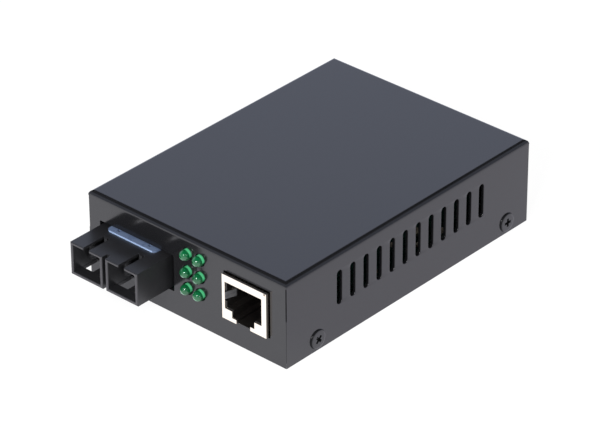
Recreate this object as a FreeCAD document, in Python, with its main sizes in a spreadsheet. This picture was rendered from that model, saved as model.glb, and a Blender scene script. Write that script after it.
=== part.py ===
import FreeCAD, Part
import math
import os
import re
import Sketcher
from FreeCAD import Placement, Rotation, Vector

# Fibre media converter: a folded steel case with a duplex fibre transceiver, six
# indicator lamps and a shielded network jack at the front and a power jack at the back.
# Millimetres. X to the right seen from the front, Y towards the back, Z up.
# The origin is at the bottom centre of the case, on the plane it stands on.

os.makedirs("parts", exist_ok=True)
doc = FreeCAD.newDocument("media_converter")

# ---------------------------------------------------------------- driving dimensions
DIMS = {
    # case: a folded steel cover over a folded steel tray
    "case_w": 70.0, "case_l": 97.3, "case_h": 25.5, "sheet_t": 1.0, "fold_r": 1.4,
    "seam_gap": 0.12, "seam_open_gap": 0.36, "seam_open_drop": 11.0, "relief_w": 0.9,
    "base_t": 1.0, "tray_side_h": 7.0, "tray_bend_r": 1.5, "tray_end_gap": 0.4,
    # side vents
    "vent_w": 2.0, "vent_low_z": 10.1, "vent_top_gap": 5.2, "vent_pitch": 5.18, "vent_y": 0.2,
    # screws: every shank is drawn at its thread's core
    "shank_r": 1.25, "shank_gap": 0.3, "side_screw_z": 3.5, "side_screw_front_set": 11.85,
    "side_screw_back_set": 8.85, "side_head_r": 2.8, "side_head_t": 0.7, "side_shank_l": 4.0,
    "cross_w": 0.55, "cross_l": 3.0, "cross_depth": 1.2, "board_head_flats": 5.0,
    "board_head_t": 1.6, "board_shank_l": 4.6,
    # circuit board on its standoffs
    "standoff_h": 4.7, "standoff_flats": 5.0, "board_t": 1.6, "board_side_gap": 2.0,
    "board_end_gap": 0.8, "board_hole_r": 1.6, "hole_side": 5.5, "hole_back_set": 4.15,
    "hole_module_gap": 6.5, "hole_front_set": 9.65,
    # duplex fibre transceiver
    "port_w": 9.7, "port_h": 8.1, "tube_wall": 0.95, "tube_gap": 1.1, "fibre_gap": 4.2,
    "module_h": 9.8, "module_l": 39.1, "module_reach": 12.0, "bridge_set": 2.0,
    "bridge_t": 0.85, "bridge_depth": 9.0, "port_rise": 5.0, "port_depth": 13.0,
    "port_wall": 2.0, "rim_chamfer": 0.15, "key_w": 2.05, "key_l": 7.8,
    "window_edge": 0.1, "window_w": 3.7, "window_front": 3.3, "window_l": 5.2,
    "shell_wall": 1.1, "latch_gap": 0.1, "latch_base_t": 2.0, "latch_front": 5.3,
    "latch_half_h": 2.1, "arm_set": 0.45, "arm_t": 0.8, "hook_out": 0.7, "hook_l": 1.3,
    "hook_slope": 1.6, "rib_w": 1.0, "rib_t": 0.6, "pip_l": 0.5, "pip_gap": 0.05,
    "sleeve_r": 2.4, "ferrule_r": 1.26, "sleeve_front": 6.3, "sleeve_gap": 0.3,
    "can_r": 2.7, "can_l": 6.0, "can_set": 1.4, "optics_board_t": 1.0,
    "optics_board_l": 12.0, "optics_board_w": 20.0, "pin_w": 0.5, "pin_pitch": 2.3,
    "pin_set": 3.5, "clip_shift": -0.25, "clip_margin": 6.9, "clip_t": 0.5,
    "clip_reach": 1.75, "clip_l": 22.0, "clip_corner_r": 1.2, "clip_hole_x": 5.55,
    "clip_hole_w": 0.9, "clip_hole_l": 0.85, "clip_hole_front": 0.55,
    "fibre_cut_side": 1.15, "fibre_cut_shift": 0.3, "fibre_cut_low": 0.3,
    "fibre_cut_high": 0.2,
    # shielded eight-way network jack
    "jack_gap": 6.58, "jack_w": 15.3, "jack_h": 13.3, "jack_l": 20.5, "jack_reach": 1.1,
    "jack_t": 0.4, "jack_cut_gap": 0.35, "mouth_shift": -0.33, "mouth_w": 12.7,
    "mouth_low": 3.2, "mouth_high": 11.2, "step_w": 7.7, "step_low": 1.2, "tab_w": 4.8,
    "fold_hole": 0.5, "fold_hole_side": 0.35, "fold_hole_top": 0.12, "socket_floor": 0.35,
    "socket_w": 11.9, "socket_low": 3.5, "socket_high": 10.9, "socket_depth": 14.5,
    "finger_low": 5.8, "finger_high": 7.9, "finger_l": 3.4, "finger_in": 0.75,
    "finger_t": 0.3, "finger_gap": 0.5, "finger_root": 0.9,
    "contact_w": 0.45, "contact_t": 0.35, "contact_pitch": 1.02, "contact_front": 2.4,
    "contact_back": 11.5, "contact_drop": 3.7,
    # indicator lamps, two columns of three
    "lamp_x": 0.6, "lamp_pitch_x": 4.5, "lamp_z": 9.9, "lamp_pitch_z": 5.25,
    "lamp_r": 1.5, "lamp_gap": 0.25, "lamp_barrel": 1.05, "lamp_shoulder": 0.5,
    "lamp_seat": 1.6, "holder_w": 4.3, "holder_l": 6.4, "holder_top": 2.3,
    "channel_w": 2.3, "channel_h": 1.0, "lead_w": 0.4, "lead_x": 0.64,
    "lead_clear": 0.4, "lead_step": 1.27,
    # power jack at the back
    "power_side": 16.0, "power_w": 9.0, "power_h": 11.0, "power_l": 14.0,
    "power_flange_l": 3.5, "power_shoulder": 2.2, "power_rise": 6.5,
    "power_bore_r": 3.1, "power_depth": 9.5, "power_hole_gap": 0.9, "power_pin_r": 1.0,
    "power_pin_set": 0.8, "spring_w": 1.6, "spring_slot_w": 2.0, "spring_slot_low": 4.0,
    "spring_t": 0.3, "spring_gap": 0.1, "spring_l": 8.0,
    # parts on the board
    "magnetics_x": 15.5, "magnetics_gap": 5.25, "magnetics_w": 13.0, "magnetics_l": 8.0,
    "magnetics_h": 5.8, "chip_x": 1.0, "chip_w": 14.0, "chip_t": 1.5, "chip_edge": 0.4,
    "chip_lift": 0.1, "chip_lead_pitch": 2.0, "chip_lead_w": 0.6, "chip_lead_l": 1.0,
    "chip_lead_t": 0.25, "crystal_x": -15.0, "crystal_w": 4.6, "crystal_l": 11.0,
    "crystal_h": 3.6, "regulator_x": 3.5, "regulator_back": 21.65, "regulator_w": 6.6,
    "regulator_l": 6.1, "regulator_h": 2.3, "coil_x": -9.0, "coil_w": 9.6, "coil_edge": 1.6,
    "coil_h": 4.6, "cap_r": 4.0, "cap_h": 11.5, "cap_back": 9.15,
    "cap_in_x": 2.5, "cap_out_x": -9.5, "small_l": 2.0, "small_w": 1.25, "small_h": 0.9,
    "small_side": 5.0, "small_row": 5.0, "small_gap": 7.0, "small_pitch": 4.6,
}
DERIVED = {
    # planes and centres that several pieces share
    "front_y": "-case_l / 2", "back_y": "case_l / 2",
    "in_front_y": "front_y + sheet_t", "in_back_y": "back_y - sheet_t",
    "in_x": "case_w / 2 - sheet_t", "roof_z": "case_h - sheet_t",
    "vent_h": "case_h - vent_top_gap - vent_low_z", "screw_hole_r": "shank_r + shank_gap",
    "side_screw_front_y": "front_y + side_screw_front_set",
    "side_screw_back_y": "back_y - side_screw_back_set",
    "board_low": "base_t + standoff_h", "board_top": "board_low + board_t",
    "board_half": "in_x - board_side_gap",
    "tube_w": "port_w + 2 * tube_wall", "port_pitch": "tube_w + tube_gap",
    "module_w": "port_pitch + tube_w",
    "fibre_x": "lamp_x - holder_w / 2 - fibre_gap - module_w / 2",
    "port_left_x": "fibre_x - port_pitch / 2", "port_right_x": "fibre_x + port_pitch / 2",
    "module_y": "front_y - module_reach", "module_back_y": "module_y + module_l",
    "module_top": "board_top + module_h", "port_z": "board_top + port_rise",
    "wall_y": "module_y + port_depth", "cavity_y": "wall_y + port_wall",
    "sleeve_hole_r": "sleeve_r + sleeve_gap", "can_y": "cavity_y + can_set",
    "optics_y": "can_y + can_l", "clip_x": "fibre_x + clip_shift",
    "clip_w": "module_w - clip_margin",
    "holder_right_x": "lamp_x + lamp_pitch_x + holder_w / 2",
    "jack_left_x": "holder_right_x + jack_gap", "jack_x": "jack_left_x + jack_w / 2",
    "mouth_x": "jack_x + mouth_shift", "jack_y": "front_y - jack_reach",
    "jack_top": "board_top + jack_h", "jack_back_y": "jack_y + jack_l",
    "socket_z": "board_top + socket_high", "lamp_hole_r": "lamp_r + lamp_gap",
    "holder_y": "in_front_y + lamp_seat", "drop_y": "holder_y + holder_l + lead_clear",
    "power_x": "in_x - power_side", "power_z": "board_top + power_rise",
    "power_back_y": "in_back_y - power_depth", "power_hole_r": "power_bore_r + power_hole_gap",
    "hole_x": "in_x - hole_side", "hole_back_y": "in_back_y - hole_back_set",
    "hole_left_y": "module_back_y + hole_module_gap",
    "hole_mid_x": "holder_right_x + jack_gap / 2", "hole_mid_y": "in_front_y + hole_front_set",
    "magnetics_y": "jack_back_y + magnetics_gap + magnetics_l / 2",
    "regulator_y": "in_back_y - regulator_back", "cap_y": "in_back_y - cap_back",
    "chip_y": "(magnetics_y + magnetics_l / 2 + regulator_y - regulator_l / 2) / 2",
    "small_x": "in_x - small_side", "small_y": "hole_left_y + small_gap",
}
COUNTS = {"vents": 12, "lamp_columns": 2, "lamp_rows": 3, "pins": 9, "contacts": 8,
          "chip_leads": 6, "smalls": 7}
SCREW_SPOTS = [
    ("hole_mid_x", "hole_mid_y"), ("-hole_x", "hole_left_y"),
    ("-hole_x", "hole_back_y"), ("hole_x", "hole_back_y"),
]
PORTS = [("left", "port_left_x"), ("right", "port_right_x")]
KNOWN = set(DIMS) | set(DERIVED)
NO_TURN = Rotation()
BACKWARD = Rotation(Vector(1, 0, 0), -90)  # turns +Z towards +Y
FORWARD = Rotation(Vector(1, 0, 0), 90)  # turns +Z towards -Y
RIGHTWARD = Rotation(Vector(0, 1, 0), 90)
LEFTWARD = Rotation(Vector(0, 1, 0), -90)
PAST = "1"  # how far a cutting tool runs past the face it opens
TINY = 1e-4

NODES = []


# ---------------------------------------------------------------- spreadsheet
def make_sheet():
    """Writes every driving and derived dimension to one spreadsheet, as an alias."""
    page = doc.addObject("Spreadsheet::Sheet", "dims")
    rows = [(name, str(value)) for name, value in DIMS.items()]
    rows += [(name, "=" + text) for name, text in DERIVED.items()]
    for row, (name, text) in enumerate(rows, start=1):
        page.set(f"A{row}", name)
        page.set(f"B{row}", text)
        page.setAlias(f"B{row}", name)
    doc.recompute()
    return page


def bind(item, prop, text):
    """Binds a property to an expression in which dimensions go by their bare names."""
    swap = lambda found: "dims." + found[0] if found[0] in KNOWN else found[0]
    item.setExpression(prop, re.sub(r"[a-z_][a-z_0-9]*", swap, text))


def number(text):
    """The present value of an expression of dimensions."""
    value = lambda found: f"({sheet.get(found[0])!r})" if found[0] in KNOWN else found[0]
    return float(FreeCAD.Units.Quantity(re.sub(r"[a-z_][a-z_0-9]*", value, text)).Value)


def put(item, at, turn=NO_TURN):
    """Turns an object and binds its position to three expressions."""
    item.Placement = Placement(Vector(), turn)
    for axis, text in zip("xyz", at):
        bind(item, "Placement.Base." + axis, text)
    return item


def around(centre, width):
    """The span of a width about a centre, as two expressions."""
    return (f"{centre} - ({width}) / 2", f"{centre} + ({width}) / 2")


def node(label, item):
    """Marks an object as a finished sub-part and names its file."""
    item.Label = label
    NODES.append(item)
    return item


# ---------------------------------------------------------------- sketches
def new_body(name):
    return doc.addObject("PartDesign::Body", name + "_body")


def sketch(body, name, role, at=("0", "0", "0")):
    """A sketch on one of the body's own planes, moved by three expressions."""
    item = body.newObject("Sketcher::SketchObject", name)
    plane = next(f for f in body.Origin.OriginFeatures if f.Role == role)
    item.AttachmentSupport = [(plane, "")]
    item.MapMode = "FlatFace"
    for axis, text in zip("xyz", at):
        bind(item, "AttachmentOffset.Base." + axis, text)
    return item


def on_front(body, name, x, z, y):
    """A sketch in an upright plane at y, its own origin at x and z, facing the front."""
    return sketch(body, name, "XZ_Plane", (x, z, f"-({y})"))


def limit(item, values, text):
    """A driving constraint bound to an expression."""
    index = item.addConstraint(Sketcher.Constraint(*values))
    bind(item, f"Constraints[{index}]", text)


def draw_outline(item, points):
    """A closed outline of straight lines; each corner is bound to two expressions."""
    start = item.GeometryCount
    places = [Vector(number(x), number(y), 0) for x, y in points]
    count = len(points)
    for i in range(count):
        item.addGeometry(Part.LineSegment(places[i], places[(i + 1) % count]), False)
    for i in range(count):
        item.addConstraint(
            Sketcher.Constraint("Coincident", start + i, 2, start + (i + 1) % count, 1)
        )
        for kind, value, text in zip(("DistanceX", "DistanceY"), places[i], points[i]):
            limit(item, (kind, -1, 1, start + i, 1, value), text)
    return item


def draw_rectangle(item, xs, ys):
    """A rectangle between two spans of expressions."""
    return draw_outline(item, [(xs[0], ys[0]), (xs[1], ys[0]), (xs[1], ys[1]), (xs[0], ys[1])])


def draw_centred(item, width, height):
    return draw_rectangle(item, around("0", width), around("0", height))


def draw_circle(item, radius):
    """A circle about the sketch's own origin."""
    item.addGeometry(Part.Circle(Vector(), Vector(0, 0, 1), number(radius)), False)
    item.addConstraint(Sketcher.Constraint("Coincident", 0, 3, -1, 1))
    limit(item, ("Radius", 0, number(radius)), radius)
    return item


def draw_hexagon(item, flats):
    """A hexagon about the sketch's own origin, given across its flats."""
    corner = f"({flats}) / {math.sqrt(3)!r}"
    turns = [math.radians(60 * i) for i in range(6)]
    return draw_outline(
        item, [(f"{corner} * {math.cos(a):.9f}", f"{corner} * {math.sin(a):.9f}") for a in turns]
    )


def draw_slot(item, width, height, steps=6):
    """An upright slot about the sketch's origin, its round ends in short straight steps."""
    points = []
    for end, start in (("+", 0), ("-", 180)):
        for i in range(steps + 1):
            turn = math.radians(start + 180 * i / steps)
            points.append((f"({width}) / 2 * {math.cos(turn):.9f}",
                           f"({width}) / 2 * {math.sin(turn):.9f} {end} (({height}) - ({width})) / 2"))
    return draw_outline(item, points)


# ---------------------------------------------------------------- body features
def pad(body, name, profile, length, flip=False):
    item = body.newObject("PartDesign::Pad", name)
    item.Profile = profile
    item.Reversed = flip
    bind(item, "Length", length)
    body.Tip = item
    return item


def pocket(body, name, profile, length=None, flip=False):
    """A cut as deep as length, or right through both ways. It must take material away."""
    doc.recompute()
    before = body.Shape.Volume
    item = body.newObject("PartDesign::Pocket", name)
    item.Profile = profile
    item.Reversed = flip
    if length is None:
        item.Type = "ThroughAll"
        item.Midplane = True
    else:
        bind(item, "Length", length)
    body.Tip = item
    doc.recompute()
    if not body.Shape.Volume < before:
        raise RuntimeError(f"{name} takes nothing away")
    return item


def repeat(body, name, feature, profile, first, second=None):
    """Copies a feature along its sketch's X, or X and then Y: (count, pitch) for each."""
    item = body.newObject("PartDesign::LinearPattern", name)
    item.Originals = [feature]
    item.Direction = (profile, ["H_Axis"])
    body.Tip = item
    bind(item, "Length", f"({first[1]}) * {first[0] - 1}")
    item.Occurrences = first[0]
    if second:
        item.Direction2 = (profile, [second[2]])
        bind(item, "Length2", f"({second[1]}) * {second[0] - 1}")
        item.Occurrences2 = second[0]
    doc.recompute()
    return item


def dress(body, name, kind, base, size, keep):
    """Rounds or bevels every edge of the base for which keep(edge's box) is true."""
    doc.recompute()
    edges = enumerate(base.Shape.Edges, start=1)
    item = body.newObject("PartDesign::" + kind, name)
    item.Base = (base, [f"Edge{i}" for i, edge in edges if keep(edge.BoundBox)])
    bind(item, "Radius" if kind == "Fillet" else "Size", size)
    body.Tip = item
    doc.recompute()
    return item


def at_level(z):
    """True for an edge that lies in the horizontal plane at z."""
    return lambda b: abs(b.ZMin - z) < TINY and abs(b.ZMax - z) < TINY


def at_depth(y):
    """True for an edge that lies in the upright plane at y."""
    return lambda b: abs(b.YMin - y) < TINY and abs(b.YMax - y) < TINY


def turned(name, points):
    """A solid turned about Z from a profile of (radius, height) corners."""
    body = new_body(name)
    profile = draw_outline(sketch(body, name + "_profile", "XZ_Plane"), points)
    item = body.newObject("PartDesign::Revolution", name + "_turn")
    item.Profile = profile
    item.ReferenceAxis = (profile, ["V_Axis"])
    item.Angle = 360
    body.Tip = item
    return body


def block(name, xs, ys, zs):
    """A plain padded block between a low and a high expression along each axis."""
    body = new_body(name)
    profile = draw_rectangle(sketch(body, name + "_outline", "XY_Plane", ("0", "0", zs[0])), xs, ys)
    pad(body, name + "_pad", profile, f"({zs[1]}) - ({zs[0]})")
    return body


def slant(name, ys, near_x, near_z, far_x, far_z):
    """A bar along Y whose cross-section moves from the near spans to the far spans."""
    item = doc.addObject("Part::Wedge", name)
    for prop, text in (
        ("Ymin", ys[0]), ("Ymax", ys[1]),
        ("Xmin", near_x[0]), ("Xmax", near_x[1]), ("Zmin", near_z[0]), ("Zmax", near_z[1]),
        ("X2min", far_x[0]), ("X2max", far_x[1]), ("Z2min", far_z[0]), ("Z2max", far_z[1]),
    ):
        bind(item, prop, text)
    return item


def join(name, items):
    """One solid from touching or overlapping objects."""
    item = doc.addObject("Part::MultiFuse", name)
    item.Shapes = items
    item.Refine = True
    return item


def group(name, items):
    """Separate solids that share one node."""
    item = doc.addObject("Part::Compound", name)
    item.Links = items
    return item


# ---------------------------------------------------------------- case
def make_top_cover():
    """Five sheet-metal walls in one piece: a block, its rounded folds, then its inside."""
    body = new_body("cover")
    outline = draw_centred(sketch(body, "cover_outline", "XY_Plane"), "case_w", "case_l")
    whole = pad(body, "cover_block", outline, "case_h")
    dress(body, "cover_folds", "Fillet", whole, "fold_r", at_level(number("case_h")))
    room = draw_centred(
        sketch(body, "cover_room", "XY_Plane"), "2 * in_x", "case_l - 2 * sheet_t"
    )
    pocket(body, "cover_hollow", room, "roof_z", flip=True)
    for row in (-1, 1):
        for side in (-1, 1):
            cut_seam(body, side, row)
    cut_vents(body)
    cut_front_panel(body)
    hole = draw_circle(on_front(body, "power_hole", "power_x", "power_z", "back_y"), "power_hole_r")
    pocket(body, "power_hole_cut", hole, "sheet_t", flip=True)
    cut_side_screw_holes(body, "cover")
    return node("top_cover", body)


def cut_seam(body, side, row):
    """The slit where a side wall butts behind an end wall, its open top and its relief."""
    tag = f"seam_{'left' if side < 0 else 'right'}_{'front' if row < 0 else 'back'}"
    x = f"{side} * (in_x + sheet_t / 2)"
    for part, gap, low, high in (
        ("slit", "seam_gap", "0", "case_h - fold_r"),
        ("open", "seam_open_gap", "case_h - seam_open_drop", "case_h - fold_r"),
        ("relief", "relief_w", "case_h - fold_r - relief_w / 2", "case_h - fold_r + relief_w / 2"),
    ):
        y = f"{row} * (back_y - sheet_t - ({gap}) / 2)"
        profile = draw_centred(
            sketch(body, f"{tag}_{part}", "XY_Plane", (x, y, low)), "sheet_t", gap
        )
        pocket(body, f"{tag}_{part}_cut", profile, f"({high}) - ({low})", flip=True)


def cut_vents(body):
    """Round-ended slots through both side walls, as one pattern along the case."""
    first = f"vent_y - vent_pitch * {COUNTS['vents'] - 1} / 2"
    place = (first, "vent_low_z + vent_h / 2", "0")
    profile = draw_slot(sketch(body, "vent", "YZ_Plane", place), "vent_w", "vent_h")
    slot = pocket(body, "vent_cut", profile)
    repeat(body, "vent_row", slot, profile, (COUNTS["vents"], "vent_pitch"))


def cut_front_panel(body):
    """The transceiver and jack cutouts and the grid of lamp holes."""
    low, high = "board_top - fibre_cut_low", "module_top + clip_t + fibre_cut_high"
    fibre = draw_rectangle(
        on_front(body, "fibre_window", "fibre_x + fibre_cut_shift", "0", "front_y"),
        around("0", "module_w + 2 * fibre_cut_side"), (low, high),
    )
    pocket(body, "fibre_window_cut", fibre, "sheet_t")
    jack = draw_centred(
        on_front(body, "jack_window", "jack_x", "board_top + jack_h / 2", "front_y"),
        "jack_w + 2 * jack_cut_gap", "jack_h + 2 * jack_cut_gap",
    )
    pocket(body, "jack_window_cut", jack, "sheet_t")
    lamp = draw_circle(on_front(body, "lamp_hole", "lamp_x", "lamp_z", "front_y"), "lamp_hole_r")
    hole = pocket(body, "lamp_hole_cut", lamp, "sheet_t")
    repeat(body, "lamp_hole_grid", hole, lamp, (COUNTS["lamp_columns"], "lamp_pitch_x"),
           (COUNTS["lamp_rows"], "lamp_pitch_z", "V_Axis"))


def cut_side_screw_holes(body, tag):
    """Two holes across the case: each runs through both side walls."""
    for place in ("front", "back"):
        at = (f"side_screw_{place}_y", "side_screw_z", "0")
        name = f"{tag}_screw_hole_{place}"
        pocket(body, name + "_cut", draw_circle(sketch(body, name, "YZ_Plane", at), "screw_hole_r"))


def make_bottom_tray():
    """A flat floor with its two long sides folded up for the cover's screws."""
    body = new_body("tray")
    length = "case_l - 2 * sheet_t - 2 * tray_end_gap"
    outline = draw_centred(sketch(body, "tray_outline", "XY_Plane"), "2 * in_x", length)
    whole = pad(body, "tray_block", outline, "tray_side_h")
    along = lambda b: b.YLength > number("in_x") and b.XLength < TINY
    low = lambda z: lambda b: along(b) and at_level(z)(b)
    dress(body, "tray_folds", "Fillet", whole, "tray_bend_r", low(0))
    room = draw_centred(
        sketch(body, "tray_room", "XY_Plane", ("0", "0", "base_t")),
        "2 * in_x - 2 * base_t", f"{length} + 2 * {PAST}",
    )
    hollow = pocket(body, "tray_hollow", room, "tray_side_h", flip=True)
    dress(body, "tray_inner_folds", "Fillet", hollow, "tray_bend_r - base_t",
          lambda b: low(number("base_t"))(b) and abs(b.XMin) < number("in_x - base_t / 2"))
    cut_side_screw_holes(body, "tray")
    return node("bottom_tray", body)


def make_cover_screws():
    """Four cross-recessed screws through the cover's sides into the tray's folds."""
    items = []
    for place, twist in (("front", 45), ("back", 0)):
        for side, turn in ((1, RIGHTWARD), (-1, LEFTWARD)):
            name = f"side_screw_{place}_{side + 1}"
            body = turned(name, [
                ("0", "-side_shank_l"), ("shank_r", "-side_shank_l"), ("shank_r", "0"),
                ("side_head_r", "0"), ("side_head_r", "side_head_t"), ("0", "side_head_t"),
            ])
            half, thin = "cross_l / 2", "cross_w / 2"
            cross = draw_outline(
                sketch(body, name + "_cross", "XY_Plane", ("0", "0", "side_head_t")),
                [(thin, thin), (thin, half), (f"-{thin}", half), (f"-{thin}", thin),
                 (f"-{half}", thin), (f"-{half}", f"-{thin}"), (f"-{thin}", f"-{thin}"),
                 (f"-{thin}", f"-{half}"), (thin, f"-{half}"), (thin, f"-{thin}"),
                 (half, f"-{thin}"), (half, thin)],
            )
            pocket(body, name + "_recess", cross, "cross_depth")
            spin = turn.multiply(Rotation(Vector(0, 0, 1), twist))
            at = (f"{side} * case_w / 2", f"side_screw_{place}_y", "side_screw_z")
            items.append(put(body, at, spin))
    return node("cover_screws", group("cover_screw_set", items))


# ---------------------------------------------------------------- board and its mounting
def make_circuit_board():
    body = new_body("board")
    outline = draw_centred(
        sketch(body, "board_outline", "XY_Plane", ("0", "0", "board_low")),
        "2 * board_half", "case_l - 2 * sheet_t - 2 * board_end_gap",
    )
    pad(body, "board_sheet", outline, "board_t")
    for index, (x, y) in enumerate(SCREW_SPOTS):
        name = f"board_hole_{index}"
        hole = draw_circle(sketch(body, name, "XY_Plane", (x, y, "board_low")), "board_hole_r")
        pocket(body, name + "_cut", hole, "board_t", flip=True)
    return node("circuit_board", body)


def make_standoffs():
    """Tapped hexagonal posts that stand on the tray under the board's holes."""
    items = []
    for index, (x, y) in enumerate(SCREW_SPOTS):
        name = f"standoff_{index}"
        body = new_body(name)
        pad(body, name + "_post", draw_hexagon(sketch(body, name + "_hex", "XY_Plane"),
                                               "standoff_flats"), "standoff_h")
        bore = draw_circle(sketch(body, name + "_bore", "XY_Plane"), "screw_hole_r")
        pocket(body, name + "_tap", bore, "standoff_h", flip=True)
        items.append(put(body, (x, y, "base_t")))
    return node("board_standoffs", group("standoff_set", items))


def make_board_screws():
    """Hexagon-headed screws that hold the board down on its posts."""
    items = []
    for index, (x, y) in enumerate(SCREW_SPOTS):
        name = f"board_screw_{index}"
        body = new_body(name)
        pad(body, name + "_head", draw_hexagon(sketch(body, name + "_hex", "XY_Plane"),
                                               "board_head_flats"), "board_head_t")
        pad(body, name + "_shank", draw_circle(sketch(body, name + "_round", "XY_Plane"),
                                               "shank_r"), "board_shank_l", flip=True)
        items.append(put(body, (x, y, "board_top")))
    return node("board_screws", group("board_screw_set", items))


# ---------------------------------------------------------------- fibre transceiver
def make_transceiver_housing():
    """The moulding with two square sockets in front and a shell, open below, behind."""
    body = new_body("module")
    left, right = around("fibre_x", "module_w")
    inner_left, inner_right = around("fibre_x", "tube_gap")
    plan = draw_outline(
        sketch(body, "module_plan", "XY_Plane", ("0", "0", "board_top")),
        [(left, "module_y"), (inner_left, "module_y"),
         (inner_left, "module_y + bridge_set"), (inner_right, "module_y + bridge_set"),
         (inner_right, "module_y"), (right, "module_y"),
         (right, "module_back_y"), (left, "module_back_y")],
    )
    pad(body, "module_block", plan, "module_h")
    gap = draw_rectangle(
        on_front(body, "module_gap", "fibre_x", "0", "module_y"),
        around("0", "tube_gap"), ("board_top + bridge_t", "module_top - bridge_t"),
    )
    pocket(body, "module_gap_cut", gap, "bridge_depth")
    port = draw_centred(on_front(body, "port", "port_left_x", "port_z", "module_y"), "port_w", "port_h")
    mouth = pocket(body, "port_cut", port, "port_depth")
    repeat(body, "port_pair", mouth, port, (2, "port_pitch"))
    cut_module_details(body)
    base = body.Tip
    dress(body, "module_rims", "Chamfer", base, "rim_chamfer", at_depth(number("module_y")))
    return node("transceiver_housing", body)


def cut_module_details(body):
    """Keyways, floor windows, sleeve holes and the rear shell."""
    top = lambda name, x, y: sketch(body, name, "XY_Plane", (x, y, "module_top"))
    under = lambda name, x, y: sketch(body, name, "XY_Plane", (x, y, "board_top"))
    key = draw_rectangle(top("keyway", "port_left_x", "module_y"), around("0", "key_w"),
                         (f"-{PAST}", "key_l"))
    slot = pocket(body, "keyway_cut", key, "module_top - port_z")
    repeat(body, "keyway_pair", slot, key, (2, "port_pitch"))
    edge = "port_left_x - port_w / 2 + window_edge"
    pane = draw_rectangle(under("floor_window", edge, "module_y + window_front"),
                          ("0", "window_w"), ("0", "window_l"))
    cut = pocket(body, "floor_window_cut", pane, "port_z - board_top", flip=True)
    across = "port_w - 2 * window_edge - window_w"
    repeat(body, "floor_window_set", cut, pane, (2, across), (2, "port_pitch", "H_Axis"))
    bore = draw_circle(on_front(body, "sleeve_hole", "port_left_x", "port_z", "wall_y"),
                       "sleeve_hole_r")
    hole = pocket(body, "sleeve_hole_cut", bore, "port_wall")
    repeat(body, "sleeve_hole_pair", hole, bore, (2, "port_pitch"))
    shell = draw_rectangle(under("shell_room", "fibre_x", "0"),
                           around("0", "module_w - 2 * shell_wall"),
                           ("cavity_y", "module_back_y - shell_wall"))
    pocket(body, "shell_cut", shell, "module_h - shell_wall", flip=True)


def make_latch(side, x):
    """One socket's latch: a base on the end wall, two hooked arms and a keying finger."""
    body = new_body("latch_" + side)
    front, back = "module_y + latch_front", "wall_y - latch_base_t"
    outer = "(port_w / 2 - arm_set)"
    inner = f"({outer} - arm_t)"
    hook = f"({inner} - hook_out)"
    half = [(outer, "wall_y"), (outer, front), (inner, front), (hook, f"{front} + hook_l"),
            (hook, f"{front} + hook_slope"), (inner, f"{front} + hook_slope"), (inner, back)]
    points = [(f"{x} + {px}", py) for px, py in half]
    points += [(f"{x} - {px}", py) for px, py in reversed(half)]
    plan = draw_outline(
        sketch(body, f"latch_plan_{side}", "XY_Plane", ("0", "0", "port_z - latch_half_h")), points
    )
    pad(body, f"latch_arms_{side}", plan, "2 * latch_half_h")
    plate = draw_centred(on_front(body, f"latch_plate_{side}", x, "port_z", "wall_y"),
                         "port_w - 2 * latch_gap", "port_h - 2 * latch_gap")
    pad(body, f"latch_base_{side}", plate, "latch_base_t")
    ceiling = "port_z + port_h / 2 - latch_gap"
    rib = draw_rectangle(
        sketch(body, f"latch_rib_{side}", "XY_Plane", (x, "0", f"{ceiling} - rib_t")),
        around("0", "rib_w"), ("module_y + key_l - pip_l - pip_gap", "wall_y"),
    )
    pad(body, f"latch_finger_{side}", rib, "rib_t")
    pip = draw_rectangle(
        sketch(body, f"latch_pip_{side}", "XY_Plane", (x, "module_y + key_l", ceiling)),
        around("0", "rib_w"), ("-pip_l - pip_gap", "-pip_gap"),
    )
    pad(body, f"latch_tip_{side}", pip, f"module_top - ({ceiling})")
    hole = draw_centred(on_front(body, f"latch_hole_{side}", x, "port_z", back),
                        "2 * sleeve_hole_r", "2 * sleeve_hole_r")
    pocket(body, f"latch_hole_cut_{side}", hole, "latch_base_t")
    return node(f"latch_{side}", body)


def make_sleeve(side, x):
    """The barrel that lines up a plug's ferrule, from the socket back to its can."""
    body = turned("sleeve_" + side, [
        ("ferrule_r", "0"), ("sleeve_r", "0"), ("sleeve_r", "can_y - module_y - sleeve_front"),
        ("ferrule_r", "can_y - module_y - sleeve_front"),
    ])
    at = (x, "module_y + sleeve_front", "port_z")
    return node(f"ferrule_sleeve_{side}", put(body, at, BACKWARD))


def make_optics():
    """The light source and the detector behind the sleeves, their board and its pins."""
    for name, x in (("laser_can", "port_left_x"), ("detector_can", "port_right_x")):
        can = turned(name, [("0", "0"), ("can_r", "0"), ("can_r", "can_l"), ("0", "can_l")])
        node(name, put(can, (x, "can_y", "port_z"), BACKWARD))
    level = around("port_z", "optics_board_t")
    back = "optics_y + optics_board_l"
    node("transceiver_board", block("optics_board", around("fibre_x", "optics_board_w"),
                                    ("optics_y", back), level))
    pins = []
    for index in range(COUNTS["pins"]):
        x = f"fibre_x + pin_pitch * ({index} - {COUNTS['pins'] - 1} / 2)"
        pins.append(block(f"module_pin_{index}", around(x, "pin_w"),
                          around(f"{back} - pin_set", "pin_w"), ("board_top", level[0])))
    node("transceiver_pins", group("pin_row", pins))


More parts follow.
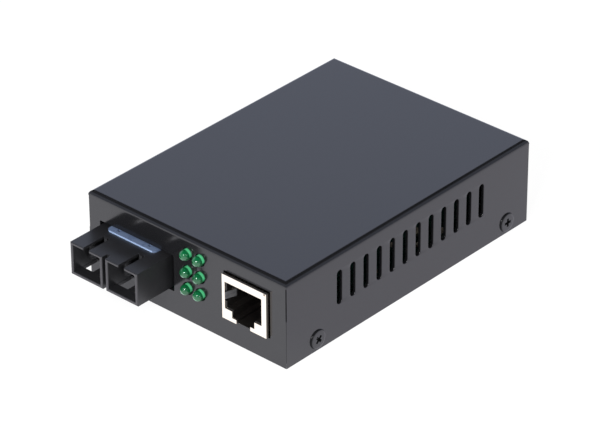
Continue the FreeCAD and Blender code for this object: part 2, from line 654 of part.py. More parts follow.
def make_clip():
    """The thin clip on the module's top, its front corners rounded."""
    body = new_body("clip")
    front = "front_y - clip_reach"
    plan = draw_rectangle(
        sketch(body, "clip_plan", "XY_Plane", ("0", "0", "module_top")),
        around("clip_x", "clip_w"), (front, f"{front} + clip_l"),
    )
    plate = pad(body, "clip_plate", plan, "clip_t")
    upright = lambda b: b.ZLength > number("clip_t") / 2 and abs(b.YMin - number(front)) < TINY
    dress(body, "clip_corners", "Fillet", plate, "clip_corner_r", upright)
    hole = draw_rectangle(
        sketch(body, "clip_hole", "XY_Plane", ("clip_x - clip_hole_x", "front_y", "module_top")),
        around("0", "clip_hole_w"), ("-clip_hole_front", "clip_hole_l - clip_hole_front"),
    )
    cut = pocket(body, "clip_hole_cut", hole, "clip_t", flip=True)
    repeat(body, "clip_hole_pair", cut, hole, (2, "2 * clip_hole_x"))
    return node("transceiver_clip", body)


# ---------------------------------------------------------------- network jack
def draw_socket(item, wide, low, high, floor):
    """The stepped outline of a network socket: mouth, latch step and tab slot."""
    mouth, step, tab = f"({wide}) / 2", "step_w / 2", "tab_w / 2"
    half = [(mouth, high), (mouth, low), (step, low), (step, "step_low"), (tab, "step_low"),
            (tab, floor)]
    points = half + [(f"-({x})", z) for x, z in reversed(half)]
    return draw_outline(item, points)


def make_jack_shield():
    """A folded metal can around the jack with a front frame and two spring fingers."""
    body = new_body("shield")
    plan = draw_rectangle(
        sketch(body, "shield_plan", "XY_Plane", ("0", "0", "board_top")),
        around("jack_x", "jack_w"), ("jack_y", "jack_back_y"),
    )
    pad(body, "shield_block", plan, "jack_h")
    room = draw_rectangle(
        sketch(body, "shield_room", "XY_Plane", ("0", "0", "board_top")),
        around("jack_x", "jack_w - 2 * jack_t"), ("jack_y + jack_t", "jack_back_y - jack_t"),
    )
    pocket(body, "shield_hollow", room, "jack_h - jack_t", flip=True)
    frame = draw_socket(on_front(body, "shield_mouth", "mouth_x", "board_top", "jack_y"),
                        "mouth_w", "mouth_low", "mouth_high", f"-{PAST}")
    pocket(body, "shield_mouth_cut", frame, "jack_t")
    spot = ("jack_x + jack_w / 2 - fold_hole_side", "jack_top - fold_hole_top")
    fold = draw_rectangle(on_front(body, "fold_hole", *spot, "jack_y"), ("-fold_hole", "0"),
                          ("-fold_hole", "0"))
    pocket(body, "fold_hole_cut", fold, "jack_t")
    return node("jack_shield", join("shield", [body, *make_fingers()]))


def make_fingers():
    """Two springs that bend in from the frame's side edges to touch a plug's shell."""
    fingers = []
    height = ("board_top + finger_low", "board_top + finger_high")
    run = ("jack_y", "jack_y + finger_l")
    for hand, sign in (("left", "-"), ("right", "+")):
        edge = f"mouth_x {sign} mouth_w / 2"
        inward = "+" if sign == "-" else "-"
        near = [f"{edge} {sign} finger_t", edge]
        far = [f"{edge} {inward} finger_in", f"{edge} {inward} (finger_in + finger_t)"]
        if sign == "+":
            near.reverse()
            far.reverse()
        fingers.append(slant(f"finger_{hand}", run, near, height, far, height))
    return fingers


def make_jack_insert():
    """The jack's plastic body, with the socket and the room for the shield's fingers."""
    body = new_body("insert")
    front = "jack_y + jack_t"
    plan = draw_rectangle(
        sketch(body, "insert_plan", "XY_Plane", ("0", "0", "board_top")),
        around("jack_x", "jack_w - 2 * jack_t"), (front, "jack_back_y - jack_t"),
    )
    pad(body, "insert_block", plan, "jack_h - jack_t")
    socket = draw_socket(on_front(body, "socket", "mouth_x", "board_top", front),
                         "socket_w", "socket_low", "socket_high", "socket_floor")
    pocket(body, "socket_cut", socket, "socket_depth - jack_t")
    room = draw_rectangle(
        on_front(body, "finger_room", "mouth_x", "board_top", front),
        around("0", "mouth_w + 2 * finger_root"),
        ("finger_low - finger_gap", "finger_high + finger_gap"),
    )
    pocket(body, "finger_room_cut", room, "finger_l + finger_gap")
    return node("jack_insert", body)


def make_jack_contacts():
    """Eight springy wires that slope back and down from the socket's roof."""
    items = []
    run = ("jack_y + contact_front", "jack_y + contact_back")
    near = ("socket_z - contact_t", "socket_z")
    far = ("socket_z - contact_t - contact_drop", "socket_z - contact_drop")
    for index in range(COUNTS["contacts"]):
        x = f"mouth_x + contact_pitch * ({index} - {COUNTS['contacts'] - 1} / 2)"
        side = around(x, "contact_w")
        items.append(slant(f"contact_{index}", run, side, near, side, far))
    return node("jack_contacts", group("contact_set", items))


# ---------------------------------------------------------------- indicator lamps
def make_lamps():
    """Six round lamps, the two blocks that hold them and their bent leads."""
    leads = []
    for column, side in enumerate(("left", "right")):
        x = f"lamp_x + {column} * lamp_pitch_x"
        for row, level in enumerate(("low", "middle", "high")):
            z = f"lamp_z + {row} * lamp_pitch_z"
            make_lamp(f"lamp_{side}_{level}", x, z)
            leads += make_leads(f"{side}_{row}", x, z, row)
        make_holder(side, x)
    node("lamp_leads", group("lead_set", leads))


def make_lamp(name, x, z):
    """A lens with a bevelled nose whose flat back rests on its holder."""
    barrel = "holder_y - front_y + lamp_barrel"
    nose = f"{barrel} + lamp_r"
    body = turned(name, [
        ("0", "0"), ("lamp_r", "0"), ("lamp_r", f"{barrel} + lamp_shoulder"),
        ("lamp_r / 2", nose), ("0", nose),
    ])
    return node(name, put(body, (x, "holder_y", z), FORWARD))


def make_holder(side, x):
    """A block that carries three lamps, with a channel behind each for its leads."""
    body = new_body("holder_" + side)
    plan = draw_rectangle(
        sketch(body, f"holder_plan_{side}", "XY_Plane", (x, "holder_y", "board_top")),
        around("0", "holder_w"), ("0", "holder_l"),
    )
    top = f"lamp_z + lamp_pitch_z * {COUNTS['lamp_rows'] - 1} + holder_top"
    pad(body, f"holder_block_{side}", plan, f"{top} - board_top")
    for row in range(COUNTS["lamp_rows"]):
        name = f"channel_{side}_{row}"
        z = f"lamp_z + {row} * lamp_pitch_z"
        hole = draw_centred(on_front(body, name, x, z, "holder_y"), "channel_w", "channel_h")
        pocket(body, name + "_cut", hole, "holder_l")
    return node(f"lamp_holder_{side}", body)


def make_leads(tag, x, z, row):
    """A lamp's two leads: straight back through the holder, then down to the board."""
    items = []
    drop = f"drop_y + {row} * lead_step"
    for hand, sign in enumerate("-+"):
        name = f"lead_{tag}_{hand}"
        body = new_body(name)
        side = sketch(body, name + "_side", "YZ_Plane", ("0", "0", f"{x} {sign} lead_x - lead_w / 2"))
        top, low = f"{z} + lead_w / 2", f"{z} - lead_w / 2"
        draw_outline(side, [
            ("holder_y", low), (drop, low), (drop, "board_top"), (f"{drop} + lead_w", "board_top"),
            (f"{drop} + lead_w", top), ("holder_y", top),
        ])
        pad(body, name + "_wire", side, "lead_w")
        items.append(body)
    return items


# ---------------------------------------------------------------- power jack
def make_power_jack():
    """The rear socket for a barrel plug: housing, centre pin and side spring."""
    body = new_body("power")
    low, high = "board_top", "board_top + power_h"
    left, right = around("power_x", "power_w")
    face = on_front(body, "power_face", "0", "0", "in_back_y")
    draw_rectangle(face, (left, right), (low, high))
    pad(body, "power_flange", face, "power_flange_l")
    rear = on_front(body, "power_rear", "0", "0", "in_back_y")
    draw_outline(rear, [
        (left, low), (right, low), (right, f"{high} - power_shoulder"),
        (f"{right} - power_shoulder", f"{high} - spring_t"),
        (f"{left} + power_shoulder", f"{high} - spring_t"), (left, f"{high} - power_shoulder"),
    ])
    pad(body, "power_barrel", rear, "power_l")
    bore = draw_circle(on_front(body, "power_bore", "power_x", "power_z", "in_back_y"),
                       "power_bore_r")
    pocket(body, "power_bore_cut", bore, "power_depth", flip=True)
    slot = draw_rectangle(
        on_front(body, "power_slot", "power_x", "power_z", "power_back_y + spring_l"),
        around("0", "spring_slot_w"), ("-spring_slot_low", "0"),
    )
    pocket(body, "power_slot_cut", slot, "spring_l", flip=True)
    node("power_jack_housing", body)
    tip = "power_depth - power_pin_set"
    pin = turned("power_pin", [
        ("0", "0"), ("power_pin_r", "0"), ("power_pin_r", tip), ("0", tip),
    ])
    node("power_jack_pin", put(pin, ("power_x", "power_back_y", "power_z"), BACKWARD))
    side = around("power_x", "spring_w")
    floor = ("power_z - spring_slot_low", "power_z - spring_slot_low + spring_t")
    crest = "power_z - power_bore_r - spring_gap"
    node("power_jack_spring", slant("power_leaf", ("power_back_y", "power_back_y + spring_l"),
                                    side, floor, side, (f"{crest} - spring_t", crest)))


# ---------------------------------------------------------------- parts on the board
def on_board(name, x, y, wide, long, high):
    """A block that stands on the board, centred on a spot."""
    return block(name, around(x, wide), around(y, long), ("board_top", f"board_top + {high}"))


def make_chip():
    """The converter chip with its bevelled top and the leads around its four sides."""
    body = block("chip", around("chip_x", "chip_w"), around("chip_y", "chip_w"),
                 ("board_top + chip_lift", "board_top + chip_lift + chip_t"))
    dress(body, "chip_bevel", "Chamfer", body.Tip, "chip_edge",
          at_level(number("board_top + chip_lift + chip_t")))
    node("converter_chip", body)
    leads = []
    level = ("board_top", "board_top + chip_lift + chip_lead_t")
    reach = "chip_w / 2 + chip_lead_l / 2"
    for index in range(COUNTS["chip_leads"]):
        shift = f"chip_lead_pitch * ({index} - {COUNTS['chip_leads'] - 1} / 2)"
        for side, sign in (("low", "-"), ("high", "+")):
            leads.append(block(f"chip_lead_x_{index}_{side}",
                               around(f"chip_x {sign} ({reach})", "chip_lead_l"),
                               around(f"chip_y + {shift}", "chip_lead_w"), level))
            leads.append(block(f"chip_lead_y_{index}_{side}",
                               around(f"chip_x + {shift}", "chip_lead_w"),
                               around(f"chip_y {sign} ({reach})", "chip_lead_l"), level))
    node("chip_leads", group("chip_lead_set", leads))


def make_crystal():
    """A metal can with round ends."""
    body = new_body("crystal")
    plan = draw_slot(sketch(body, "crystal_plan", "XY_Plane", ("crystal_x", "chip_y", "board_top")),
                     "crystal_w", "crystal_l")
    pad(body, "crystal_can", plan, "crystal_h")
    return node("crystal", body)


def make_power_parts():
    """The regulator, its coil and the two tall capacitors."""
    node("regulator", on_board("regulator", "regulator_x", "regulator_y", "regulator_w",
                               "regulator_l", "regulator_h"))
    coil = on_board("coil", "coil_x", "regulator_y", "coil_w", "coil_w", "coil_h")
    upright = lambda b: b.ZLength > number("coil_h") / 2
    dress(coil, "coil_corners", "Chamfer", coil.Tip, "coil_edge", upright)
    node("inductor", coil)
    for name, x in (("input_capacitor", "cap_in_x"), ("output_capacitor", "cap_out_x")):
        can = turned(name, [("0", "0"), ("cap_r", "0"), ("cap_r", "cap_h"), ("0", "cap_h")])
        node(name, put(can, (x, "cap_y", "board_top")))


def make_small_parts():
    """Two staggered rows of small blocks near the right and left edges of the board."""
    items = []
    for side, sign in (("left", -1), ("right", 1)):
        for index in range(COUNTS["smalls"]):
            x = f"{sign} * (small_x - {index % 2} * small_row)"
            y = f"small_y + {index} * small_pitch"
            items.append(on_board(f"small_{side}_{index}", x, y, "small_w", "small_l", "small_h"))
    node("ceramic_parts", group("small_set", items))


def write_parts():
    """Checks every object and writes each sub-part to its own file."""
    doc.recompute()
    for item in doc.Objects:
        if "Invalid" in item.State or "Error" in item.State:
            raise RuntimeError(f"{item.Label}: {item.State}")
    for item in NODES:
        shape = item.Shape
        if shape.isNull() or not shape.isValid() or not shape.Solids:
            raise RuntimeError(f"{item.Label} isn't a valid solid")
        shape.exportStep(f"parts/{item.Label}.step")
        print(f"{item.Label}: {len(shape.Solids)} solids, {shape.Volume:.1f} mm3")


sheet = make_sheet()
make_top_cover()
make_bottom_tray()
make_cover_screws()
make_circuit_board()
make_standoffs()
make_board_screws()
make_transceiver_housing()
for port, port_x in PORTS:
    make_latch(port, port_x)
    make_sleeve(port, port_x)
make_optics()
make_clip()
make_jack_shield()
make_jack_insert()
make_jack_contacts()
make_lamps()
make_power_jack()
node("magnetics", on_board("magnetics", "magnetics_x", "magnetics_y", "magnetics_w",
                           "magnetics_l", "magnetics_h"))
make_chip()
make_crystal()
make_power_parts()
make_small_parts()
write_parts()
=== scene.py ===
# %% [markdown]
# # A small fibre media converter
# The real object is a folded steel box that joins a copper network cable to a pair of
# optical fibres. Its sizes are already settled by the CAD model, which loads here as a
# fixed frame. This lesson gives each piece the surface and the finish that the real one
# has. Every new piece is worked out as arrays of points, and the mesh is written at once.

# %% Load the frame
import math

import bmesh
import bpy
import numpy as np
from mathutils import Matrix, Vector
from mathutils.geometry import delaunay_2d_cdt


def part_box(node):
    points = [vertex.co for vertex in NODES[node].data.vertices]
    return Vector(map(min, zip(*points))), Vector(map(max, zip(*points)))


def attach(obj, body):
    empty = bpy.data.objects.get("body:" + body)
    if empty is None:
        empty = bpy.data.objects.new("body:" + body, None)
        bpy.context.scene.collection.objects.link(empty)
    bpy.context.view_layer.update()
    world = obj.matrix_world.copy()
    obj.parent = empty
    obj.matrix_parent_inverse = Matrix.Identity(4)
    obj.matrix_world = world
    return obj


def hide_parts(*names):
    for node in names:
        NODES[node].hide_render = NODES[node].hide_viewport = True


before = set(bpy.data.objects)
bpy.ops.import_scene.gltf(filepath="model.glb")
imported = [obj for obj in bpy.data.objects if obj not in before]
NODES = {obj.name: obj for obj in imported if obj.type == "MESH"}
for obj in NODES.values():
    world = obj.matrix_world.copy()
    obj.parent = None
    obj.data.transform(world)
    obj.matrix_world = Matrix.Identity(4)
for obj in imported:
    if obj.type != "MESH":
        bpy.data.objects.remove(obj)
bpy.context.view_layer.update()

MM = 0.001


# %% [markdown]
# ## Sizes come from the frame
# A piece that stands for a CAD node has to fill the same place, so its sizes are read off
# that node's box and not typed in twice. A box gives the outside; the few sizes that a box
# can't tell, such as a bend's radius or a sheet's thickness, are named below.

# %% Read boxes in millimetres
def box_mm(node):
    """Lowest and highest corner of a CAD node, in millimetres, as two arrays."""
    low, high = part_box(node)
    return np.array(low) / MM, np.array(high) / MM


CASE_W, CASE_L, CASE_H = np.subtract(*box_mm("top_cover")[::-1])
SHEET = 1.0          # steel thickness
FOLD = 1.4           # outer radius of the cover's folds
BOARD_TOP = box_mm("circuit_board")[1][2]
print("case", CASE_W.round(2), CASE_L.round(2), CASE_H.round(2), "board top", BOARD_TOP.round(2))


# %% [markdown]
# ## From arrays to a mesh
# A mesh is a table of points and a table of faces. Adding points one at a time is slow and
# hides the shape's formula, so each table is made whole with numpy and handed over with
# foreach_set. Closed shells get their doubles merged and their faces turned outwards here.

# %% Write a mesh and finish a piece
def write_mesh(name, points, face_sets):
    """A mesh from points in millimetres and arrays of faces, one array per corner count."""
    mesh = bpy.data.meshes.new(name)
    mesh.vertices.add(len(points))
    mesh.vertices.foreach_set("co", (np.asarray(points) * MM).astype(np.float32).ravel())
    corners = np.concatenate([np.asarray(f).ravel() for f in face_sets])
    sizes = np.concatenate([np.full(len(f), np.shape(f)[1]) for f in face_sets])
    mesh.loops.add(len(corners))
    mesh.loops.foreach_set("vertex_index", corners.astype(np.int32))
    mesh.polygons.add(len(sizes))
    mesh.polygons.foreach_set("loop_start", (np.cumsum(sizes) - sizes).astype(np.int32))
    mesh.update(calc_edges=True)
    mesh.validate()
    return mesh


def clean(mesh, gap=1e-7):
    """Merges doubled points, drops faces without area and turns every face outwards."""
    work = bmesh.new()
    work.from_mesh(mesh)
    bmesh.ops.remove_doubles(work, verts=work.verts, dist=gap)
    bmesh.ops.dissolve_degenerate(work, edges=work.edges, dist=gap)
    bmesh.ops.recalc_face_normals(work, faces=work.faces)
    work.to_mesh(mesh)
    work.free()
    return mesh


def shade(obj, angle=40):
    """Smooth shading that breaks at edges sharper than the angle, in degrees."""
    obj.data.polygons.foreach_set("use_smooth", np.ones(len(obj.data.polygons), bool))
    obj.data.set_sharp_from_angle(angle=math.radians(angle))
    weigh = obj.modifiers.new("even_normals", "WEIGHTED_NORMAL")
    weigh.keep_sharp = True
    return obj


def piece(name, mesh, material, slot, *nodes, angle=40):
    """A finished piece: in the scene, coated, riding on the root and standing for nodes."""
    obj = bpy.data.objects.new(name, mesh)
    bpy.context.scene.collection.objects.link(obj)
    mesh.materials.clear()
    mesh.materials.append(material)
    shade(obj, angle)
    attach(obj, "root")
    if nodes:
        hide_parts(*nodes)
    print(name, len(mesh.polygons), "faces")
    return obj


# %% [markdown]
# ## The camera
# Seen from well back through a long lens, the box stays nearly parallel-sided. A camera
# could be pushed about by hand, but its place is worked out here from an azimuth, a height
# angle and a distance, which say plainly that it looks down at the front right corner. It
# then leans by about a quarter of a degree.

# %% Place the camera
AZIMUTH, ELEVATION, LEAN = (math.radians(v) for v in (42.11, 31.33, -0.28))
DISTANCE, LENS_LENGTH = 939.8, 211.25   # millimetres, on a 36 mm wide sensor
AIM = np.array([0.0, 0.0, 13.0])
SLIDE = (-3.03, -2.52)   # the view's centre, right and up of the aim, in millimetres

back = np.array([math.sin(AZIMUTH) * math.cos(ELEVATION),
                 -math.cos(AZIMUTH) * math.cos(ELEVATION), math.sin(ELEVATION)])
level = np.array([math.cos(AZIMUTH), math.sin(AZIMUTH), 0.0])
upright = np.cross(back, level)
right = level * math.cos(LEAN) + upright * math.sin(LEAN)
up = upright * math.cos(LEAN) - level * math.sin(LEAN)
spot = (AIM + back * DISTANCE + right * SLIDE[0] + up * SLIDE[1]) * MM

lens = bpy.data.cameras.new("camera")
lens.sensor_width = 36.0
lens.lens = LENS_LENGTH
lens.clip_start, lens.clip_end = 0.05, 100.0
camera = bpy.data.objects.new("camera", lens)
camera.matrix_world = Matrix([[*row, p] for row, p in zip(np.stack([right, up, back]).T, spot)]
                             + [[0, 0, 0, 1]])
bpy.context.scene.collection.objects.link(camera)
bpy.context.scene.camera = camera
print("lens", round(lens.lens, 1), "mm at", [round(float(v), 3) for v in spot], "m")


# %% [markdown]
# ## Short words for shader nets
# A shader net is a set of nodes and the links between them, and most of its lines would be
# the same few steps: mix two colours, multiply two numbers, fade from one value to another.
# Each step gets a small function that takes sockets or plain values and gives a socket
# back, so that the nets further down read like sentences.

# %% Helpers for shader nets
def add(tree, kind, **values):
    """A shader node with its properties and its unlinked inputs set by name."""
    node = tree.nodes.new(kind)
    for key, value in values.items():
        if key in node.inputs:
            node.inputs[key].default_value = value
        else:
            setattr(node, key, value)
    return node


def worked_out(tree, operation, *values, kind="ShaderNodeMath"):
    """The result of a plain or vector operation on sockets and fixed values, in order."""
    node = add(tree, kind, operation=operation)
    for socket, value in zip(node.inputs, values):
        if isinstance(value, (float, tuple)):
            socket.default_value = value
        else:
            tree.links.new(value, socket)
    return node.outputs["Value"]


def along_way(tree, vector, way):
    """How far a vector points or reaches along a fixed way: their dot product."""
    return worked_out(tree, "DOT_PRODUCT", vector, way, kind="ShaderNodeVectorMath")


def fade(tree, value, start, stop, low=0.0, high=1.0, smooth=True):
    """Low at start, high at stop and a smooth or straight change between them."""
    node = add(tree, "ShaderNodeMapRange", interpolation_type="SMOOTHSTEP" if smooth else "LINEAR")
    for label, number in (("From Min", start), ("From Max", stop), ("To Min", low), ("To Max", high)):
        node.inputs[label].default_value = number
    tree.links.new(value, node.inputs["Value"])
    return node.outputs["Result"]


def blended(tree, share, first, second):
    """The first colour where the share is 0 and the second where it is 1."""
    node = add(tree, "ShaderNodeMix", data_type="RGBA")
    tree.links.new(share, node.inputs[0])
    for place, colour in ((6, first), (7, second)):
        if isinstance(colour, tuple):
            node.inputs[place].default_value = (*colour, 1)
        else:
            tree.links.new(colour, node.inputs[place])
    return node.outputs[2]


def mixed_shader(tree, share, first, second, out_kind):
    """Ends a net: the first shader where the share is 0 and the second where it is 1."""
    mix = tree.nodes.new("ShaderNodeMixShader")
    for socket, source in zip(mix.inputs, (share, first.outputs[0], second.outputs[0])):
        tree.links.new(source, socket)
    tree.links.new(mix.outputs[0], tree.nodes.new(out_kind).inputs[0])


def empty_net(owner):
    """The node tree of a material or world, with nothing in it."""
    owner.use_nodes = True
    owner.node_tree.nodes.clear()
    return owner.node_tree


def sees_background(tree):
    """1 for camera, glossy and transmission rays and 0 for the rays that carry light; then
    1 for camera rays alone."""
    rays = tree.nodes.new("ShaderNodeLightPath").outputs
    seen = worked_out(tree, "MAXIMUM", rays["Is Camera Ray"], rays["Is Glossy Ray"])
    return worked_out(tree, "MAXIMUM", seen, rays["Is Transmission Ray"]), rays["Is Camera Ray"]


print("net helpers ready")


# %% [markdown]
# ## The room
# Dark glossy paint shows its surroundings more than its own colour. Two or three big lamps
# could stand for them, but each would show as a patch with an edge, so the world itself is
# the room. It is bright low down behind the object and dim overhead: the flat lid mirrors
# the pale wall, and its folds mirror the dim room, which draws the dark line round the lid.

# %% Make the room
scene = bpy.context.scene
scene.view_settings.view_transform = "Standard"
WALL = (0.87, 0.95, 1.21)       # what gloss sees of the pale wall, slightly cool
ROOM = (0.02, 0.023, 0.03)      # what gloss sees overhead
WALL_TOP = (0.56, 0.68)         # the sine of the height angle where the wall fades out
WALL_SIDE = (-0.67, 0.74, 0.0)  # the wall stands behind the object, this way
WALL_END = (0.45, 0.15)         # the cosine of the angle from that way where it dims
WALL_DIM = 0.5                  # and how much of the room's tone it takes on there
AMBIENT = 0.62                  # the even light on everything


def make_room():
    """Gloss sees the wall or the room, the camera sees white, and light is even."""
    world = bpy.data.worlds.new("studio")
    scene.world = world
    tree = empty_net(world)
    seen, by_camera = sees_background(tree)
    way = tree.nodes.new("ShaderNodeTexCoord").outputs["Generated"]
    split = tree.nodes.new("ShaderNodeSeparateXYZ")
    tree.links.new(way, split.inputs[0])
    above = fade(tree, split.outputs["Z"], *WALL_TOP)
    aside = fade(tree, along_way(tree, way, WALL_SIDE), *WALL_END, high=WALL_DIM)
    wall = blended(tree, worked_out(tree, "MAXIMUM", above, aside), WALL, ROOM)
    glow = add(tree, "ShaderNodeBackground", Strength=1.0)
    tree.links.new(blended(tree, by_camera, wall, (1, 1, 1)), glow.inputs["Color"])
    even = add(tree, "ShaderNodeBackground", Color=(1, 1, 1, 1), Strength=AMBIENT)
    mixed_shader(tree, seen, even, glow, "ShaderNodeOutputWorld")


make_room()
print("room: even light", AMBIENT, "and a wall", WALL)


# %% [markdown]
# ## The table
# Seen from above, the upright front and right side mirror the table. One flat tone would
# serve both alike, but a table lit from the front is a little dimmer beside the object, so
# the tone fades across the corner between them. A share of plain matt white under the glow
# keeps the faint shadow that sets the object down.

# %% Lay the table
TABLE_FRONT = (1.62, 1.62, 1.74)  # what gloss sees of the table in front
TABLE_SIDE = (1.36, 1.34, 1.52)   # and beside the object
TABLE_TURN = (-0.03, 0.02)        # x + y, in metres, where one becomes the other
TABLE_SEEN = (1.15, 1.15, 1.15)   # what the camera sees of the glow
TABLE_MATT = (0.75, 0.75, 0.75, 1)
GLOW_SHARE = 0.77                 # the rest is matt and takes the shadow
TABLE_REACH = 12000.0             # millimetres each way from the object


def make_table():
    """A square of four points whose material is part glow, part matt."""
    corners = np.array([[-1, -1, 0], [1, -1, 0], [1, 1, 0], [-1, 1, 0]]) * TABLE_REACH
    mesh = write_mesh("floor", corners, [np.array([[0, 1, 2, 3]])])
    material = bpy.data.materials.new("table_white")
    tree = empty_net(material)
    seen, by_camera = sees_background(tree)
    place = tree.nodes.new("ShaderNodeTexCoord").outputs["Object"]
    beside = fade(tree, along_way(tree, place, (1.0, 1.0, 0.0)), *TABLE_TURN)
    tone = blended(tree, by_camera, blended(tree, beside, TABLE_FRONT, TABLE_SIDE), TABLE_SEEN)
    glow = add(tree, "ShaderNodeEmission", Strength=1.0)
    tree.links.new(tone, glow.inputs["Color"])
    matt = add(tree, "ShaderNodeBsdfDiffuse", Color=TABLE_MATT)
    share = worked_out(tree, "MULTIPLY", seen, GLOW_SHARE)
    mixed_shader(tree, share, matt, glow, "ShaderNodeOutputMaterial")
    mesh.materials.append(material)
    floor = bpy.data.objects.new("floor", mesh)
    scene.collection.objects.link(floor)


make_table()
print("table:", 2 * TABLE_REACH * MM, "m wide")


# %% [markdown]
# ## The lamps
# The room's even light leaves no highlight anywhere. One wide soft lamp in front brings out
# the front panel and its sockets, and two small ones to the front right put bright sparks
# on the round indicator lamps. They are discs, so the sparks come out round.

# %% Hang the lamps
LAMP_AIM = (0, -20, 12)   # millimetres: inside the case, towards its front
STUDIO_LAMPS = {          # place and width in metres, then watts
    "front_lamp": ((0.20, -1.30, 0.70), 0.35, 13.0),
    "spark_lamp_left": ((0.38, -0.66, 0.52), 0.08, 1.3),
    "spark_lamp_right": ((0.66, -0.48, 0.50), 0.08, 1.3),
}
for name, (place, size, watts) in STUDIO_LAMPS.items():
    data = bpy.data.lights.new(name, "AREA")
    data.shape, data.size, data.energy = "DISK", size, watts
    lamp = bpy.data.objects.new(name, data)
    lamp.location = place
    lamp.rotation_euler = (Vector(place) - Vector(LAMP_AIM) * MM).to_track_quat("Z", "Y").to_euler()
    scene.collection.objects.link(lamp)
print("studio lamps:", ", ".join(STUDIO_LAMPS))


# %% [markdown]
# ## Effects that several finishes share
# Sprayed paint, moulded plastic and plated metal all carry a fine unevenness. It could be
# drawn anew in each material, but a node group keeps one recipe with named inputs. The
# group gives out masks and heights only, and each material decides what to do with them.

# %% Build the shared node groups
def group_with(name, inputs, outputs):
    """An empty shader group with float inputs (name, default) and named outputs."""
    made = bpy.data.node_groups.new(name, "ShaderNodeTree")
    for label, value in inputs:
        socket = made.interface.new_socket(label, in_out="INPUT", socket_type="NodeSocketFloat")
        socket.default_value = value
    for label in outputs:
        made.interface.new_socket(label, in_out="OUTPUT", socket_type="NodeSocketFloat")
    return made, made.nodes.new("NodeGroupInput"), made.nodes.new("NodeGroupOutput")


def noise_in(tree, place, cells, detail=3.0):
    """Noise at a place, with its number of cells per metre from a socket."""
    noise = add(tree, "ShaderNodeTexNoise", Detail=detail)
    tree.links.new(place, noise.inputs["Vector"])
    tree.links.new(cells, noise.inputs["Scale"])
    return noise.outputs["Fac"]


def make_grain_group():
    """Two sizes of noise: fine cells for the height and slow drifts for the tone."""
    made, given, out = group_with(
        "fine_grain", [("Cells", 3000.0), ("Drift", 60.0)], ["Height", "Tone"])
    place = made.nodes.new("ShaderNodeTexCoord").outputs["Object"]
    for cells, use in (("Cells", "Height"), ("Drift", "Tone")):
        made.links.new(noise_in(made, place, given.outputs[cells]), out.inputs[use])
    return made


def make_brush_group():
    """Noise stretched along Y, as the drawing lines of rolled or plated metal."""
    made, given, out = group_with("drawn_lines", [("Cells", 2600.0)], ["Line"])
    place = made.nodes.new("ShaderNodeTexCoord").outputs["Object"]
    stretch = add(made, "ShaderNodeMapping", Scale=(1.0, 0.04, 1.0))
    made.links.new(place, stretch.inputs["Vector"])
    line = noise_in(made, stretch.outputs[0], given.outputs["Cells"], 2.0)
    made.links.new(line, out.inputs["Line"])
    return made


FINE_GRAIN = make_grain_group()
DRAWN_LINES = make_brush_group()
print("groups:", FINE_GRAIN.name, DRAWN_LINES.name)


# %% [markdown]
# ## One recipe for the solid finishes
# Paint, moulding, metal and board lacquer differ in colour, gloss and grain, but each one
# is a base colour that drifts a little, a roughness that drifts with it, and a shallow
# bump. One function builds that net for a whole family, and its numbers tell them apart.

# %% Make a finish
SPREAD = (0.3, 0.7)   # most of a noise's values lie between these


def finish(name, dark, light, rough, cells=3000.0, drift=60.0, bump=0.05, depth=0.02,
           group=None, **shader):
    """A Principled material whose colour runs dark to light and roughness low to high."""
    material = bpy.data.materials.new(name)
    material.use_nodes = True
    tree = material.node_tree
    skin = tree.nodes["Principled BSDF"]
    for key, value in shader.items():
        skin.inputs[key.replace("_", " ")].default_value = value
    source = tree.nodes.new("ShaderNodeGroup")
    source.node_tree = group or FINE_GRAIN
    source.inputs["Cells"].default_value = cells
    if group is None:
        source.inputs["Drift"].default_value = drift
    tone = source.outputs["Line" if group else "Tone"]
    fine = source.outputs["Line" if group else "Height"]
    share = fade(tree, tone, *SPREAD, smooth=False)
    tree.links.new(blended(tree, share, dark, light), skin.inputs["Base Color"])
    tree.links.new(fade(tree, tone, *SPREAD, *rough, smooth=False), skin.inputs["Roughness"])
    relief = add(tree, "ShaderNodeBump", Strength=bump, Distance=depth * MM)
    tree.links.new(fine, relief.inputs["Height"])
    tree.links.new(relief.outputs[0], skin.inputs["Normal"])
    return material


print("recipe ready")


# %% The painted and blackened steel
CASE_PAINT = finish("case_paint", (0.0085, 0.0085, 0.0095), (0.0105, 0.0105, 0.0118), (0.14, 0.18),
                    cells=2600.0, drift=35.0, bump=0.05, depth=0.02)
TRAY_PAINT = finish("tray_paint", (0.0080, 0.0083, 0.0092), (0.0105, 0.0108, 0.0120), (0.30, 0.36),
                    cells=2600.0, drift=35.0, bump=0.12, depth=0.02)
BLACK_SCREW = finish("black_screw", (0.007, 0.007, 0.008), (0.010, 0.010, 0.011), (0.16, 0.22),
                     cells=4000.0, drift=400.0, bump=0.10)
print("painted steel:", CASE_PAINT.name, TRAY_PAINT.name, BLACK_SCREW.name)


# %% The mouldings, and a painted highlight on their front faces
BLACK_PLASTIC = finish("black_plastic", (0.0125, 0.0125, 0.0138), (0.0175, 0.0175, 0.0192),
                       (0.32, 0.40), cells=5200.0, drift=160.0, bump=0.25, depth=0.02)
SOCKET_PLASTIC = finish("socket_plastic", (0.006, 0.005, 0.005), (0.010, 0.009, 0.008),
                        (0.30, 0.42), cells=5200.0, drift=200.0, bump=0.15)
# A paler coat for the transceiver's front faces: a painted highlight for the light their rims catch.
FRONT_FACE_HIGHLIGHT = finish("painted_front_highlight", (0.030, 0.028, 0.031), (0.042, 0.039, 0.044), (0.42, 0.50),
                   cells=6000.0, drift=300.0, bump=0.30, depth=0.02)
BLUE_PLASTIC = finish("blue_plastic", (0.112, 0.155, 0.262), (0.138, 0.188, 0.300), (0.24, 0.32),
                      cells=4200.0, drift=300.0, bump=0.10)
# A lighter blue for the clip's front face: a painted highlight along its front edge.
BLUE_FRONT_HIGHLIGHT = finish("blue_painted_highlight", (0.30, 0.41, 0.64), (0.36, 0.48, 0.72), (0.24, 0.32),
                   cells=4200.0, drift=300.0, bump=0.10)
print("mouldings:", BLACK_PLASTIC.name, SOCKET_PLASTIC.name, BLUE_PLASTIC.name)


